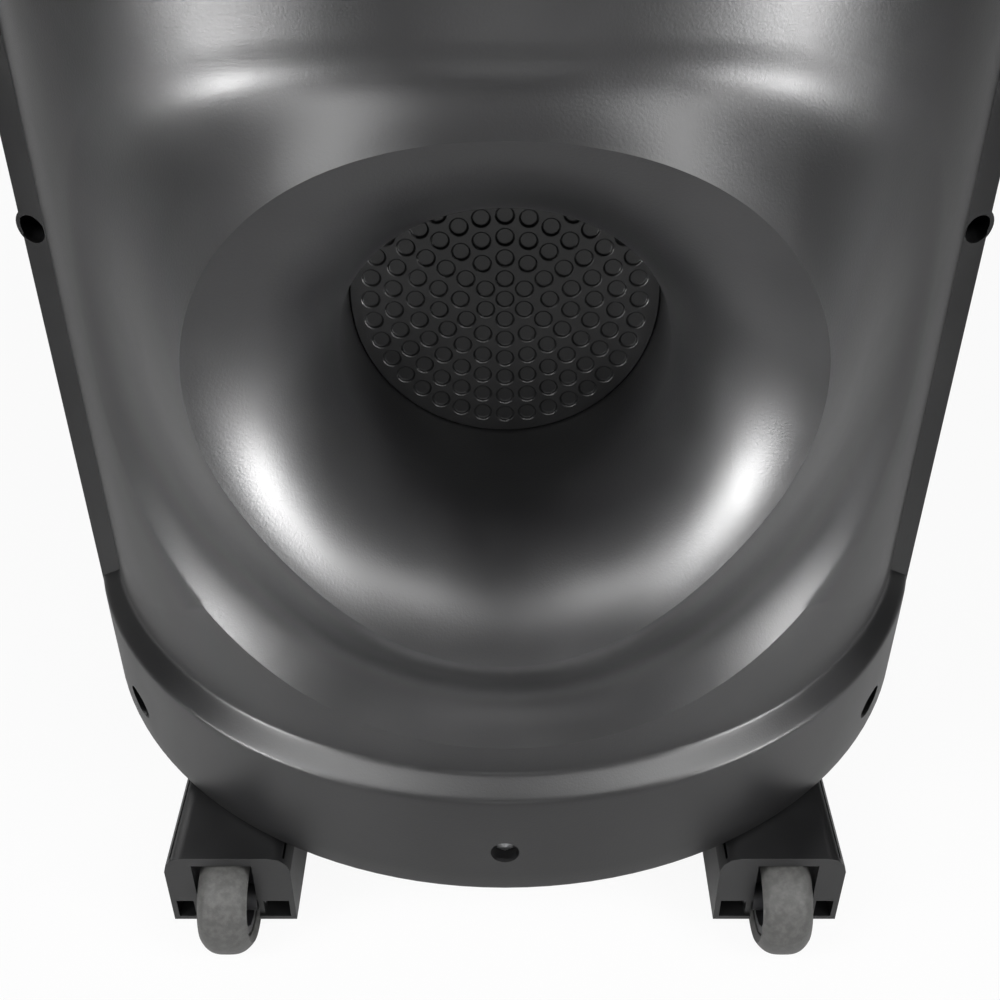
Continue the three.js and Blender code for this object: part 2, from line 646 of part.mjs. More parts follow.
function rearShell() {
  const outer = filleted((inset) => rearPlan(inset, SEAM_Y), BODY_BOTTOM, CABINET_TOP,
    BASE_FILLET, TOP_FILLET, FILLET_STEPS).subtract(insetCutter(0));
  const cavity = filleted((inset) => rearPlan(WALL + inset, SEAM_Y + OVERRUN), BODY_BOTTOM + WALL,
    CABINET_TOP - WALL, BASE_FILLET, TOP_FILLET - WALL, INSIDE_FILLET_STEPS).subtract(insetCutter(WALL));
  let shell = outer.subtract(cavity);
  const egg = anglesRound(DISH_STEPS).map((angle) => rimPoint(angle, 0));
  shell = shell.subtract(facingRear(egg, -OVERALL_DEPTH, wallY(RIM_HALF_WIDTH, 0) + 2 * FLANGE_WIDTH));

  const middle = (PANEL_BOTTOM + PANEL_TOP) / 2;
  const halfX = PANEL_HALF_WIDTH + GAP;
  const halfZ = PANEL_HEIGHT / 2 + GAP;
  const cup = facingRear(roundedAt(0, middle, halfX + WALL, halfZ + WALL, 2 * WALL, INSIDE_FILLET_STEPS),
    -OVERALL_DEPTH, PANEL_Y + WALL).intersect(outer);
  const bowl = facingRear(roundedAt(0, middle, halfX, halfZ, WALL), -OVERALL_DEPTH, PANEL_Y);
  const window = facingRear(roundedAt(0, middle, halfX - PANEL_SEAT, halfZ - PANEL_SEAT, WALL,
    INSIDE_FILLET_STEPS), -OVERALL_DEPTH, PANEL_Y + WALL + OVERRUN);
  shell = shell.add(cup).subtract(bowl).subtract(window);

  const trayHole = roundedAt(0, TUBE_CENTRE_Y, TRAY_HALF_LENGTH + GAP, TRAY_HALF_WIDTH + GAP, TRAY_MARGIN);
  shell = shell.subtract(extrudedUp(trayHole, CABINET_TOP - WALL - OVERRUN, CABINET_TOP + OVERRUN));
  for (const place of screwPlaces) {
    shell = addScrewTube(shell, outer, place);
  }
  addPiece('rear_shell', shell, shellPlastic());
}

// The moulding's flange lies behind the shell wall, all round the rim.
function dishMoulding() {
  const angles = anglesRound(DISH_STEPS);
  const front = ringsOf(angles.map((angle) => dishSection(angle, 0, FLARE_STEPS, FLANK_STEPS)));
  const back = ringsOf(angles.map((angle) => dishSection(angle, WALL, FLARE_BACK_STEPS, FLANK_BACK_STEPS)));
  const lip = (margin, depth) => angles.map((angle) => {
    const [x, z] = rimPoint(angle, margin);
    return [x, wallY(x, depth), z];
  });
  const lap = WALL - 2 * GAP;
  const seat = WALL + GAP;
  const inside = lip(-FLANGE_WIDTH / 2, lap);
  const flange = skinned([inside, lip(-2 * GAP, lap), lip(-2 * GAP, seat), lip(FLANGE_WIDTH, seat),
    lip(FLANGE_WIDTH, seat + WALL), lip(-FLANGE_WIDTH / 2, seat + WALL), inside]);
  addPiece('dish_moulding', skinned([...front, ...back.toReversed()]).add(flange), shellPlastic());
}

// Dimples lie in rings round a centre one, six more in each ring.
function dishDisc() {
  const radius = THROAT_RADIUS - GAP;
  const disc = bar('y', radius, DISC_FACE_Y, DISC_FACE_Y + DISC_THICKNESS, 0, DISH_CENTRE_Z, DISH_STEPS);
  const rings = Math.floor((radius - DIMPLE_DIAMETER / 2 - GAP) / DIMPLE_PITCH);
  const cutters = [];
  for (let ring = 0; ring <= rings; ring += 1) {
    for (const angle of anglesRound(Math.max(1, 6 * ring))) {
      const geometry = new THREE.ConeGeometry(DIMPLE_DIAMETER, 2 * DIMPLE_DEPTH, DIMPLE_SIDES);
      geometry.translate(ring * DIMPLE_PITCH * Math.sin(angle), DISC_FACE_Y,
        DISH_CENTRE_Z + ring * DIMPLE_PITCH * Math.cos(angle));
      cutters.push(solid(geometry));
    }
  }
  addPiece('dish_disc', disc.subtract(wasm.Manifold.union(cutters)), shellPlastic());
}

function frontShell() {
  const startY = SEAM_Y + GAP;
  const outer = filleted((inset) => frontPlan(inset, startY), BODY_BOTTOM, CABINET_TOP,
    BASE_FILLET, TOP_FILLET, FILLET_STEPS);
  const cavity = filleted((inset) => frontPlan(WALL + inset, startY - OVERRUN), BODY_BOTTOM + WALL,
    CABINET_TOP - WALL, BASE_FILLET, TOP_FILLET - WALL, INSIDE_FILLET_STEPS)
    .intersect(block(-OVERALL_DEPTH, OVERALL_DEPTH, 0, BAFFLE_BACK_Y, 0, 2 * CABINET_TOP));
  const mouthHalf = sideHalfWidth(BAFFLE_Y) - BEZEL_WIDTH;
  const mouth = facingRear(roundedOutline(-mouthHalf, mouthHalf, BODY_BOTTOM + BEZEL_WIDTH,
    CABINET_TOP - BEZEL_WIDTH, FRONT_CORNER), BAFFLE_Y, FRONT_FRAME_Y + OVERRUN);
  const wooferHole = bar('y', WOOFER_RADIUS - WOOFER_RIM, 0, FRONT_FRAME_Y, 0, WOOFER_CENTRE_Z,
    WOOFER_SIDES);
  const hornHole = facingRear(roundedAt(0, HORN_CENTRE_Z, HORN_WIDTH / 2 - WOOFER_RIM,
    HORN_HEIGHT / 2 - WOOFER_RIM, WOOFER_RIM), 0, FRONT_FRAME_Y);
  let shell = outer.subtract(cavity).subtract(mouth).subtract(wooferHole).subtract(hornHole);
  const pocket = (extra) => roundedAt(0, CARRY_CENTRE_Y, CARRY_HALF_LENGTH + extra,
    CARRY_POCKET_HALF_WIDTH + extra, TRAY_MARGIN + extra);
  const pocketFloor = CABINET_TOP - CARRY_POCKET_DEPTH;
  shell = shell.add(extrudedUp(pocket(WALL), pocketFloor - WALL, CABINET_TOP - WALL / 2))
    .subtract(extrudedUp(pocket(0), pocketFloor, CABINET_TOP + OVERRUN));
  const bossEnd = SEAM_Y + SCREW_LENGTH;
  for (const { x, z } of seamPlaces) {
    const wallX = Math.sign(x) * sideHalfWidth(startY);
    const web = block(Math.min(x, wallX), Math.max(x, wallX), startY, bossEnd, z - WALL / 2, z + WALL / 2);
    const boss = bar('y', RECESS_DIAMETER / 2, startY, bossEnd, x, z, COARSE_SIDES);
    const hole = bar('y', SCREW_SHANK / 2 + GAP, 0, bossEnd - WALL, x, z, SMALL_SIDES);
    shell = shell.add(boss.add(web).intersect(outer)).subtract(hole);
  }
  addPiece('front_shell', shell, shellPlastic());
}

// A pressed steel grille, domed towards the front.
function frontGrille() {
  const halfWidth = sideHalfWidth(BAFFLE_Y) - BEZEL_WIDTH - GAP;
  const bottom = BODY_BOTTOM + BEZEL_WIDTH + GAP;
  const top = CABINET_TOP - BEZEL_WIDTH - GAP;
  const faceY = FRONT_FRAME_Y + GRILLE_DOME;
  const skirtEnd = BAFFLE_Y + GAP;
  const domeInset = 2 * FRAME_DEPTH;
  const shoulder = domeInset / 4;
  const corner = (inset) => Math.max(FRONT_CORNER - GAP - inset, FRONT_CORNER / 4);
  const at = (inset, y) => roundedOutline(-halfWidth + inset, halfWidth - inset, bottom + inset,
    top - inset, corner(inset)).map(([x, z]) => [x, y, z]);
  const centre = (y) => at(0, y).map(() => [0, y, (bottom + top) / 2]);
  const t = GRILLE_THICKNESS;
  const shoulderY = FRONT_FRAME_Y + GRILLE_DOME / 2;
  addPiece('front_grille', skinned([centre(faceY), at(domeInset, faceY), at(shoulder, shoulderY + t / 2),
    at(0, FRONT_FRAME_Y), at(0, skirtEnd), at(t, skirtEnd), at(t, FRONT_FRAME_Y - t / 2),
    at(shoulder + t / 2, shoulderY - t / 2), at(domeInset, faceY - t), centre(faceY - t)]), darkMetal());
}

// The woofer, from its basket to the magnet's yoke
function woofer() {
  const addTurned = (name, profile, material) => addPiece(name,
    turned(profile, 'y', 0, 0, WOOFER_CENTRE_Z, WOOFER_SIDES), material);
  const rimY = BAFFLE_BACK_Y - GAP;
  const neck = MAGNET_DIAMETER / 2;
  const frameEnd = rimY - BASKET_DEPTH;
  const step = WOOFER_RADIUS - WOOFER_RIM;
  const coneEdge = step - SURROUND_WIDTH;
  const rollRadius = SURROUND_WIDTH / 2 - WALL / 2;
  const seatY = rimY - rollRadius;
  const shelfY = seatY - WALL / 2 - GAP;
  const outline = [[step, rimY], [WOOFER_RADIUS, rimY], [WOOFER_RADIUS, rimY - WALL],
    [step + WALL, rimY - WALL], [step + WALL, shelfY - WALL], [neck + WALL, frameEnd],
    [neck / 2, frameEnd], [neck / 2, frameEnd + WALL], [neck, frameEnd + WALL],
    [step - SURROUND_WIDTH / 4, shelfY], [step, shelfY], [step, rimY]];
  let basket = turned(outline, 'y', 0, 0, WOOFER_CENTRE_Z, WOOFER_SIDES);
  for (const angle of anglesRound(BASKET_WINDOWS)) {
    const geometry = new THREE.BoxGeometry(neck, BASKET_DEPTH / 2, WOOFER_RADIUS);
    geometry.translate(0, (rimY + frameEnd) / 2, WOOFER_RADIUS);
    geometry.rotateY(angle);
    geometry.translate(0, 0, WOOFER_CENTRE_Z);
    basket = basket.subtract(solid(geometry));
  }
  addPiece('woofer_basket', basket, darkMetal());

  const rollCentre = coneEdge + SURROUND_WIDTH / 2;
  const roll = (radius) => arc(radius, Math.PI, 0, ROLL_STEPS).map(([r, y]) => [rollCentre + r, seatY + y]);
  const lipBack = seatY - WALL / 2;
  addTurned('woofer_surround', [[coneEdge + GAP, seatY], ...roll(rollRadius), [step - GAP, seatY],
    [step - GAP, lipBack], [rollCentre + rollRadius - WALL / 2, lipBack],
    ...roll(rollRadius - WALL / 2).reverse(), [rollCentre - rollRadius + WALL / 2, lipBack],
    [coneEdge + GAP, lipBack], [coneEdge + GAP, seatY]], darkRubber());

  const capRadius = CAP_DIAMETER / 2;
  const coneBack = seatY - CONE_DEPTH;
  const coil = capRadius / 2;
  const coilEnd = frameEnd + 2 * CONE_STROKE;
  addTurned('woofer_cone', [[coneEdge, seatY], [coil + WALL, coneBack], [coil + WALL, coilEnd],
    [coil, coilEnd], [coil, coneBack + WALL], [coneEdge - WALL / 2, seatY + WALL / 2],
    [coneEdge, seatY + WALL / 2], [coneEdge, seatY]], plastic(0x202020, 0.8));

  const slope = (coneEdge - coil - WALL) / CONE_DEPTH;
  const capBase = coneBack + WALL + (capRadius - coil) / slope + GAP;
  const dome = (trim) => arc(1, Math.PI / 2, 0, ROLL_STEPS)
    .map(([along, up]) => [(capRadius - trim) * along, capBase + (CAP_RISE - trim) * up]);
  addTurned('dust_cap', [...dome(0), ...dome(WALL / 2).reverse()], plastic(0x242424, 0.5));

  const magnetFront = frameEnd - GAP;
  const magnetBack = magnetFront - MAGNET_THICKNESS;
  addTurned('woofer_magnet', [[capRadius, magnetFront], [neck, magnetFront], [neck, magnetBack],
    [capRadius, magnetBack], [capRadius, magnetFront]], darkMetal());
  const plateFront = magnetBack - GAP;
  const pole = coil - 2 * GAP;
  addTurned('woofer_yoke', [[0, magnetFront], [pole, magnetFront], [pole, plateFront],
    [neck - WALL, plateFront], [neck - WALL, plateFront - 2 * WALL], [0, plateFront - 2 * WALL]], steel());
}

// A horn whose section grows with the square of the depth, and its compression driver
function tweeter() {
  const faceY = BAFFLE_Y + WALL + GAP;
  const startY = faceY - HORN_DEPTH;
  const mouthX = HORN_WIDTH / 2 - WOOFER_RIM - 2 * GAP;
  const mouthZ = HORN_HEIGHT / 2 - WOOFER_RIM - 2 * GAP;
  const ringAt = (share, wall, y) => {
    const grow = share ** 2;
    const halfX = HORN_THROAT + (mouthX - HORN_THROAT - WALL) * grow + wall;
    const halfZ = HORN_THROAT + (mouthZ - HORN_THROAT - WALL) * grow + wall;
    const radius = Math.min(halfX, halfZ) * (1 - grow / 2);
    return roundedAt(0, HORN_CENTRE_Z, halfX, halfZ, radius, 2).map(([x, z]) => [x, y, z]);
  };
  const flare = (wall, extra) => {
    const rings = [];
    for (let i = 0; i <= HORN_STEPS; i += 1) {
      const past = i === 0 ? -extra : Math.floor(i / HORN_STEPS) * extra;
      rings.push(ringAt(i / HORN_STEPS, wall, startY + HORN_DEPTH * i / HORN_STEPS + past));
    }
    const middle = (ring) => ring.map(([, y]) => [0, y, HORN_CENTRE_Z]);
    return skinned([middle(rings[0]), ...rings, middle(rings.at(-1))]);
  };
  const plate = facingRear(roundedAt(0, HORN_CENTRE_Z, HORN_WIDTH / 2, HORN_HEIGHT / 2, WOOFER_RIM),
    BAFFLE_Y + GAP, faceY);
  addPiece('tweeter_horn', plate.add(flare(WALL, 0)).subtract(flare(0, OVERRUN)), trimPlastic());
  const front = startY - GAP;
  const back = front - DRIVER_DEPTH;
  const radius = DRIVER_DIAMETER / 2;
  const driver = [[0, front], [HORN_THROAT + WALL, front], [HORN_THROAT + WALL, front - WALL],
    [radius, front - WALL], [radius, back], [radius - 2 * WALL, back - WALL], [0, back - WALL]];
  addPiece('tweeter_driver', turned(driver, 'y', 0, 0, HORN_CENTRE_Z, WOOFER_SIDES), darkMetal());
}

// A wheel housing: a box with a slot for the wheel, two low windows and cheeks that carry the axle
function wheelHousing(side, end) {
  const edges = [side * (WHEEL_CENTRE_X - HOUSING_INSIDE), side * (WHEEL_CENTRE_X + HOUSING_OUTSIDE)];
  const low = Math.min(...edges);
  const high = Math.max(...edges);
  const top = BODY_BOTTOM - GAP;
  const wall = HOUSING_WALL;
  const bottom = AXLE_Z - HOUSING_BELOW_AXLE;
  const rear = AXLE_Y - HOUSING_BEHIND_AXLE;
  const front = AXLE_Y + HOUSING_AHEAD_OF_AXLE;
  const outline = roundedOutline(low, high, bottom - HOUSING_CORNER, top, HOUSING_CORNER);
  const box = facingRear(outline, rear, front).intersect(block(low, high, rear, front, bottom, top));
  const cavity = block(low + wall, high - wall, rear + wall, front - wall, bottom + SILL, top - wall);
  const slotLow = side * WHEEL_CENTRE_X - SLOT_WIDTH / 2;
  const slotHigh = side * WHEEL_CENTRE_X + SLOT_WIDTH / 2;
  const slot = block(slotLow, slotHigh, rear - OVERRUN, AXLE_Y + WHEEL_DIAMETER / 2 + wall,
    bottom - OVERRUN, top - 2 * wall);
  const windows = block(low + wall, high - wall, rear - OVERRUN, rear + wall + OVERRUN,
    bottom + SILL, AXLE_Z + WINDOW_ABOVE_AXLE);
  const cheek = (from, to) => block(from, to, rear + wall / 2, front - wall, bottom + SILL, top - wall);
  const bore = bar('x', AXLE_DIAMETER / 2 + AXLE_CLEARANCE, slotLow - 2 * wall, slotHigh + 2 * wall,
    AXLE_Y, AXLE_Z, MID_SIDES);
  const housing = box.subtract(cavity).subtract(windows).add(cheek(slotLow - wall, slotLow))
    .add(cheek(slotHigh, slotHigh + wall)).subtract(slot).subtract(bore);
  addPiece(`wheel_housing_${end}`, housing, shellPlastic());
  addPiece(`wheel_axle_${end}`, bar('x', AXLE_DIAMETER / 2, slotLow - wall - GAP, slotHigh + wall + GAP,
    AXLE_Y, AXLE_Z, MID_SIDES), steel());
}

function wheel(side, end) {
  const centre = side * WHEEL_CENTRE_X;
  const half = WHEEL_WIDTH / 2;
  const inside = WHEEL_DIAMETER / 2 - TYRE_THICKNESS;
  const flank = TYRE_SIDE_SHARES.map(([up, out]) => [inside + TYRE_THICKNESS * up, half * out]);
  const tyre = [...flank.map(([r, x]) => [r, -x]), ...flank.toReversed(), [flank[0][0], -flank[0][1]]];
  addPiece(`wheel_tyre_${end}`, turned(tyre, 'x', centre, AXLE_Y, AXLE_Z, FINE_SIDES), wheelRubber());
  const rim = inside - GAP;
  const bore = AXLE_DIAMETER / 2 + 2 * AXLE_CLEARANCE;
  const boss = AXLE_DIAMETER;
  const web = HUB_WEB / 2;
  const bossHalf = SLOT_WIDTH / 2 - 2 * GAP;
  const rimHalf = half * HUB_RIM_SHARE;
  const hub = [[bore, -bossHalf], [boss, -bossHalf], [boss, -web], [rim - WALL, -web],
    [rim - WALL, -rimHalf], [rim, -rimHalf], [rim, rimHalf], [rim - WALL, rimHalf], [rim - WALL, web],
    [boss, web], [boss, bossHalf], [bore, bossHalf], [bore, -bossHalf]];
  let spoked = turned(hub, 'x', centre, AXLE_Y, AXLE_Z, MID_SIDES);
  const reach = (boss + rim - WALL) / 2;
  for (const angle of anglesRound(HUB_OPENINGS)) {
    spoked = spoked.subtract(bar('x', (rim - WALL - boss) / 2 - GAP, centre - half, centre + half,
      AXLE_Y + reach * Math.sin(angle), AXLE_Z + reach * Math.cos(angle), SMALL_SIDES));
  }
  addPiece(`wheel_hub_${end}`, spoked, trimPlastic());
}

function frontFoot(side, end) {
  const x = side * FOOT_CENTRE_X;
  const ring = (half) => roundedAt(x, FOOT_CENTRE_Y, half, half, half / 3);
  const foot = lofted([ring(FOOT_BASE_HALF), ring(FOOT_TOP_HALF)], [PAD_HEIGHT, BODY_BOTTOM - GAP]);
  addPiece(`front_foot_${end}`, foot, shellPlastic());
  const pad = turned([[0, 0], [PAD_DIAMETER / 2 - GAP, 0], [PAD_DIAMETER / 2, 2 * GAP],
    [PAD_DIAMETER / 2, PAD_HEIGHT - GAP], [0, PAD_HEIGHT - GAP]], 'z', x, FOOT_CENTRE_Y, 0, MID_SIDES);
  addPiece(`foot_pad_${end}`, pad, darkRubber());
}

// Control panel

const rowOf = (share) => PANEL_BOTTOM + PANEL_HEIGHT * share;
const columnOf = (share) => PANEL_HALF_WIDTH * share;

function controlPanel() {
  const middle = (PANEL_BOTTOM + PANEL_TOP) / 2;
  let panel = facingRear(roundedAt(0, middle, PANEL_HALF_WIDTH, PANEL_HEIGHT / 2, WALL), PANEL_FACE_Y,
    PANEL_Y - GAP);
  for (const sx of [-1, 1]) {
    for (const sz of [-1, 1]) {
      panel = panel.add(bar('y', POST_DIAMETER / 2, PANEL_FACE_Y + GAP, PANEL_Y + BOARD_STAND_OFF - GAP,
        sx * (BOARD_WIDTH - POST_DIAMETER) / 2, middle + sz * BOARD_HEIGHT * POST_ROW_SHARE, SMALL_SIDES));
    }
  }
  const through = [PANEL_FACE_Y - OVERRUN, PANEL_Y + OVERRUN];
  const round = (share, row, radius, sides) => bar('y', radius, ...through, columnOf(share),
    rowOf(row), sides);
  const square = (share, row, halfX, halfZ) => blockAt(columnOf(share), rowOf(row), halfX, halfZ,
    ...through);
  const cuts = [];
  for (const share of [...Object.values(KNOB_COLUMN_SHARES), 0]) {
    cuts.push(round(share, KNOB_ROW_SHARE, KNOB_DIAMETER / 6 + GAP, COARSE_SIDES));
  }
  for (const share of Object.values(BUTTON_COLUMN_SHARES)) {
    cuts.push(square(share, BUTTON_ROW_SHARE, BUTTON_SIZE / 2 + GAP, BUTTON_SIZE / 2 + GAP));
  }
  for (const share of Object.values(JACK_COLUMN_SHARES)) {
    cuts.push(round(share, SOCKET_ROW_SHARE, JACK_DIAMETER / 2 - WALL / 2, MID_SIDES));
  }
  cuts.push(
    square(INLET_COLUMN_SHARE, SOCKET_ROW_SHARE, INLET_WIDTH / 2 - WALL / 2, INLET_HEIGHT / 2 - WALL / 2),
    square(ROCKER_COLUMN_SHARE, SOCKET_ROW_SHARE, ROCKER_WIDTH / 2 + GAP, ROCKER_HEIGHT / 2 + OVERRUN / 2),
    square(USB_COLUMN_SHARE, SCREEN_ROW_SHARE, USB_WIDTH / 2 + GAP, USB_HEIGHT / 2 + GAP),
    blockAt(0, rowOf(SCREEN_ROW_SHARE), SCREEN_WIDTH / 2, SCREEN_HEIGHT / 2, PANEL_FACE_Y - OVERRUN,
      PANEL_FACE_Y + PANEL_THICKNESS / 2),
  );
  addPiece('control_panel', panel.subtract(wasm.Manifold.union(cuts)), trimPlastic());
  addPiece('display_window', blockAt(0, rowOf(SCREEN_ROW_SHARE), SCREEN_WIDTH / 2 - GAP,
    SCREEN_HEIGHT / 2 - GAP, PANEL_FACE_Y - GAP, PANEL_FACE_Y + PANEL_THICKNESS / 2 - GAP),
  plastic(0x090b10, 0.1));
}

// A tapered knob with a pointer groove and a shaft through the panel.
function knob(name, x, diameter) {
  const z = rowOf(KNOB_ROW_SHARE);
  const radius = diameter / 2;
  const back = PANEL_FACE_Y - GAP;
  const front = back - KNOB_HEIGHT;
  const shaft = KNOB_DIAMETER / 6;
  const profile = [[0, front], [radius * KNOB_TOP_SHARE, front],
    [radius * KNOB_EDGE_SHARE, front + KNOB_HEIGHT / 10], [radius, back],
    [shaft, back], [shaft, PANEL_Y + WALL], [0, PANEL_Y + WALL]];
  const groove = block(x - 2 * GAP, x + 2 * GAP, front - OVERRUN, front + KNOB_HEIGHT / 12,
    z + radius / 4, z + radius);
  addPiece(name, turned(profile, 'y', x, 0, z, MID_SIDES).subtract(groove), trimPlastic());
}

function controls() {
  for (const [name, share] of Object.entries(KNOB_COLUMN_SHARES)) {
    knob(name, columnOf(share), KNOB_DIAMETER);
  }
  knob('volume_knob', 0, VOLUME_DIAMETER);
  const half = BUTTON_SIZE / 2;
  for (const [name, share] of Object.entries(BUTTON_COLUMN_SHARES)) {
    const x = columnOf(share);
    const z = rowOf(BUTTON_ROW_SHARE);
    const cap = facingRear(roundedAt(x, z, half, half, half / 3, INSIDE_FILLET_STEPS),
      PANEL_FACE_Y - BUTTON_PROUD, PANEL_Y + WALL);
    const stop = blockAt(x, z, half + BUTTON_STROKE, half, PANEL_Y, PANEL_Y + WALL);
    addPiece(name, cap.add(stop), trimPlastic());
  }
  const rocker = blockAt(columnOf(ROCKER_COLUMN_SHARE), rowOf(SOCKET_ROW_SHARE), ROCKER_WIDTH / 2,
    ROCKER_HEIGHT / 2, PANEL_FACE_Y - ROCKER_PROUD, PANEL_Y - 2 * GAP);
  addPiece('power_rocker', rocker, plastic(0x111111, 0.3));
}

function sockets() {
  const front = PANEL_FACE_Y - GAP;
  const z = rowOf(SOCKET_ROW_SHARE);
  const nut = JACK_DIAMETER / 2;
  const barrel = nut - WALL / 2 - GAP;
  const bore = JACK_BORE / 2;
  for (const [name, share] of Object.entries(JACK_COLUMN_SHARES)) {
    const profile = [[bore, front - WALL], [nut - GAP, front - WALL], [nut, front - WALL / 2],
      [nut, front], [barrel, front], [barrel, PANEL_Y + 3 * WALL], [0, PANEL_Y + 3 * WALL],
      [0, PANEL_Y + 2 * WALL], [bore, PANEL_Y + 2 * WALL], [bore, front - WALL]];
    addPiece(name, turned(profile, 'y', columnOf(share), 0, z, MID_SIDES), steel());
  }
  const x = columnOf(INLET_COLUMN_SHARE);
  const flange = facingRear(roundedAt(x, z, INLET_WIDTH / 2, INLET_HEIGHT / 2, WALL / 2),
    front - WALL / 2, front);
  const halfX = INLET_WIDTH / 2 - WALL / 2 - GAP;
  const halfZ = INLET_HEIGHT / 2 - WALL / 2 - GAP;
  const body = blockAt(x, z, halfX, halfZ, front - GAP, front + INLET_DEPTH);
  const mouth = facingRear(roundedAt(x, z, halfX - WALL / 2, halfZ - WALL / 2, WALL / 2),
    front - OVERRUN, front + INLET_DEPTH - WALL);
  let inlet = flange.add(body).subtract(mouth);
  for (const side of [-1, 1]) {
    inlet = inlet.add(bar('y', PIN_DIAMETER / 2, front + WALL, front + INLET_DEPTH - WALL / 2,
      x + side * PIN_SPACING / 2, z, SMALL_SIDES));
  }
  addPiece('power_inlet', inlet, plastic(0x121212, 0.4));
  const usbX = columnOf(USB_COLUMN_SHARE);
  const usbZ = rowOf(SCREEN_ROW_SHARE);
  const usbBox = (trim, y0, y1) => blockAt(usbX, usbZ, USB_WIDTH / 2 - trim, USB_HEIGHT / 2 - trim, y0, y1);
  const backStop = blockAt(usbX, usbZ, USB_WIDTH / 2 + WALL / 2, USB_HEIGHT / 2, PANEL_Y, PANEL_Y + WALL);
  addPiece('usb_port', usbBox(0, front, PANEL_Y + 2 * WALL).add(backStop)
    .subtract(usbBox(USB_SKIN, PANEL_FACE_Y - OVERRUN, PANEL_Y + WALL)), steel());
}

// Trolley handle: a grip on two tubes that slide in guides below a tray

function handleTray() {
  const outline = (extra) => roundedAt(0, TUBE_CENTRE_Y, TRAY_HALF_LENGTH + extra, TRAY_HALF_WIDTH + extra,
    TRAY_MARGIN + extra);
  const lipBottom = CABINET_TOP + GAP;
  let tray = extrudedUp(outline(0), TRAY_FLOOR - TRAY_WALL, lipBottom)
    .add(extrudedUp(outline(TRAY_WALL), lipBottom, lipBottom + TRAY_WALL / 2))
    .subtract(extrudedUp(outline(-TRAY_WALL), TRAY_FLOOR, lipBottom + TRAY_WALL));
  for (const side of [-1, 1]) {
    tray = tray.subtract(bar('z', GUIDE_INSIDE + GUIDE_WALL + GAP, TRAY_FLOOR - 2 * TRAY_WALL,
      TRAY_FLOOR + TRAY_WALL, side * TUBE_CENTRE_X, TUBE_CENTRE_Y, MID_SIDES));
  }
  addPiece('handle_tray', tray, trimPlastic());
}

function tubeSolid(outside, wall, bottom, top, x) {
  return bar('z', outside, bottom, top, x, TUBE_CENTRE_Y, MID_SIDES)
    .subtract(bar('z', outside - wall, bottom - OVERRUN, top + OVERRUN, x, TUBE_CENTRE_Y, MID_SIDES));
}

function trolleyHandle() {
  const tubeTop = GRIP_BOTTOM + GRIP_HEIGHT / 2;
  for (const [side, end] of [[-1, 'left'], [1, 'right']]) {
    const x = side * TUBE_CENTRE_X;
    const guide = tubeSolid(GUIDE_INSIDE + GUIDE_WALL, GUIDE_WALL, GUIDE_BOTTOM, TRAY_FLOOR, x);
    const collar = tubeSolid(GUIDE_INSIDE + GUIDE_WALL + TRAY_WALL, GUIDE_WALL + TRAY_WALL,
      TRAY_FLOOR - 3 * TRAY_WALL, TRAY_FLOOR - TRAY_WALL - GAP, x);
    addPiece(`guide_tube_${end}`, guide.add(collar), steel());
    addPiece(`handle_tube_${end}`, tubeSolid(TUBE_DIAMETER / 2, TUBE_WALL,
      GUIDE_BOTTOM + 2 * TUBE_DIAMETER, tubeTop, x), steel());
  }
  const outline = (inset) => roundedAt(0, TUBE_CENTRE_Y, GRIP_HALF_LENGTH - inset, GRIP_WIDTH / 2 - inset,
    GRIP_WIDTH / 2 - inset - GAP);
  const edges = [[GRIP_EDGE, 0], [GRIP_EDGE / 3, GRIP_EDGE / 3], [0, GRIP_EDGE]];
  const levels = [...edges, ...edges.toReversed().map(([inset, up]) => [inset, GRIP_HEIGHT - up])];
  let grip = lofted(levels.map(([inset]) => outline(inset)), levels.map(([, up]) => GRIP_BOTTOM + up));
  for (const side of [-1, 1]) {
    grip = grip.subtract(bar('z', TUBE_DIAMETER / 2 + GAP, GRIP_BOTTOM - OVERRUN, tubeTop + GAP,
      side * TUBE_CENTRE_X, TUBE_CENTRE_Y, MID_SIDES));
  }
  const gripTop = GRIP_BOTTOM + GRIP_HEIGHT;
  const latchFloor = gripTop - 3 * LATCH_STROKE;
  const latch = (extra) => roundedAt(0, TUBE_CENTRE_Y, LATCH_HALF_LENGTH + extra, LATCH_HALF_WIDTH + extra,
    LATCH_HALF_WIDTH - GAP);
  grip = grip.subtract(extrudedUp(latch(GAP), latchFloor - GAP, gripTop + OVERRUN));
  addPiece('handle_grip', grip, trimPlastic());
  addPiece('handle_button', extrudedUp(latch(0), latchFloor + LATCH_STROKE, gripTop + LATCH_STROKE / 2),
    plastic(0x3a3a3c, 0.4));
}

// The carry handle is one arch: two feet on the pocket's floor and a bar between them.
function carryHandle() {
  const floor = CABINET_TOP - CARRY_POCKET_DEPTH + GAP;
  const end = CARRY_HALF_LENGTH - GAP;
  const foot = CARRY_BAR_WIDTH / 2;
  const rise = CABINET_TOP - CARRY_BAR_HEIGHT;
  const top = CABINET_TOP - GAP;
  const bend = arc(foot, Math.PI, Math.PI / 2, ROLL_STEPS)
    .map(([along, up]) => [2 * foot - end + along, rise - foot + up]);
  const left = [[-end, floor], [foot - end, floor], ...bend];
  const crown = [[end, top - foot], [end - foot / 2, top - foot / 4], [end - foot, top]];
  const mirrored = (points) => points.map(([x, z]) => [-x, z]).reverse();
  addPiece('carry_handle', facingRear([...left, ...mirrored(left), ...crown, ...mirrored(crown)],
    CARRY_CENTRE_Y - foot, CARRY_CENTRE_Y + foot), darkRubber());
}

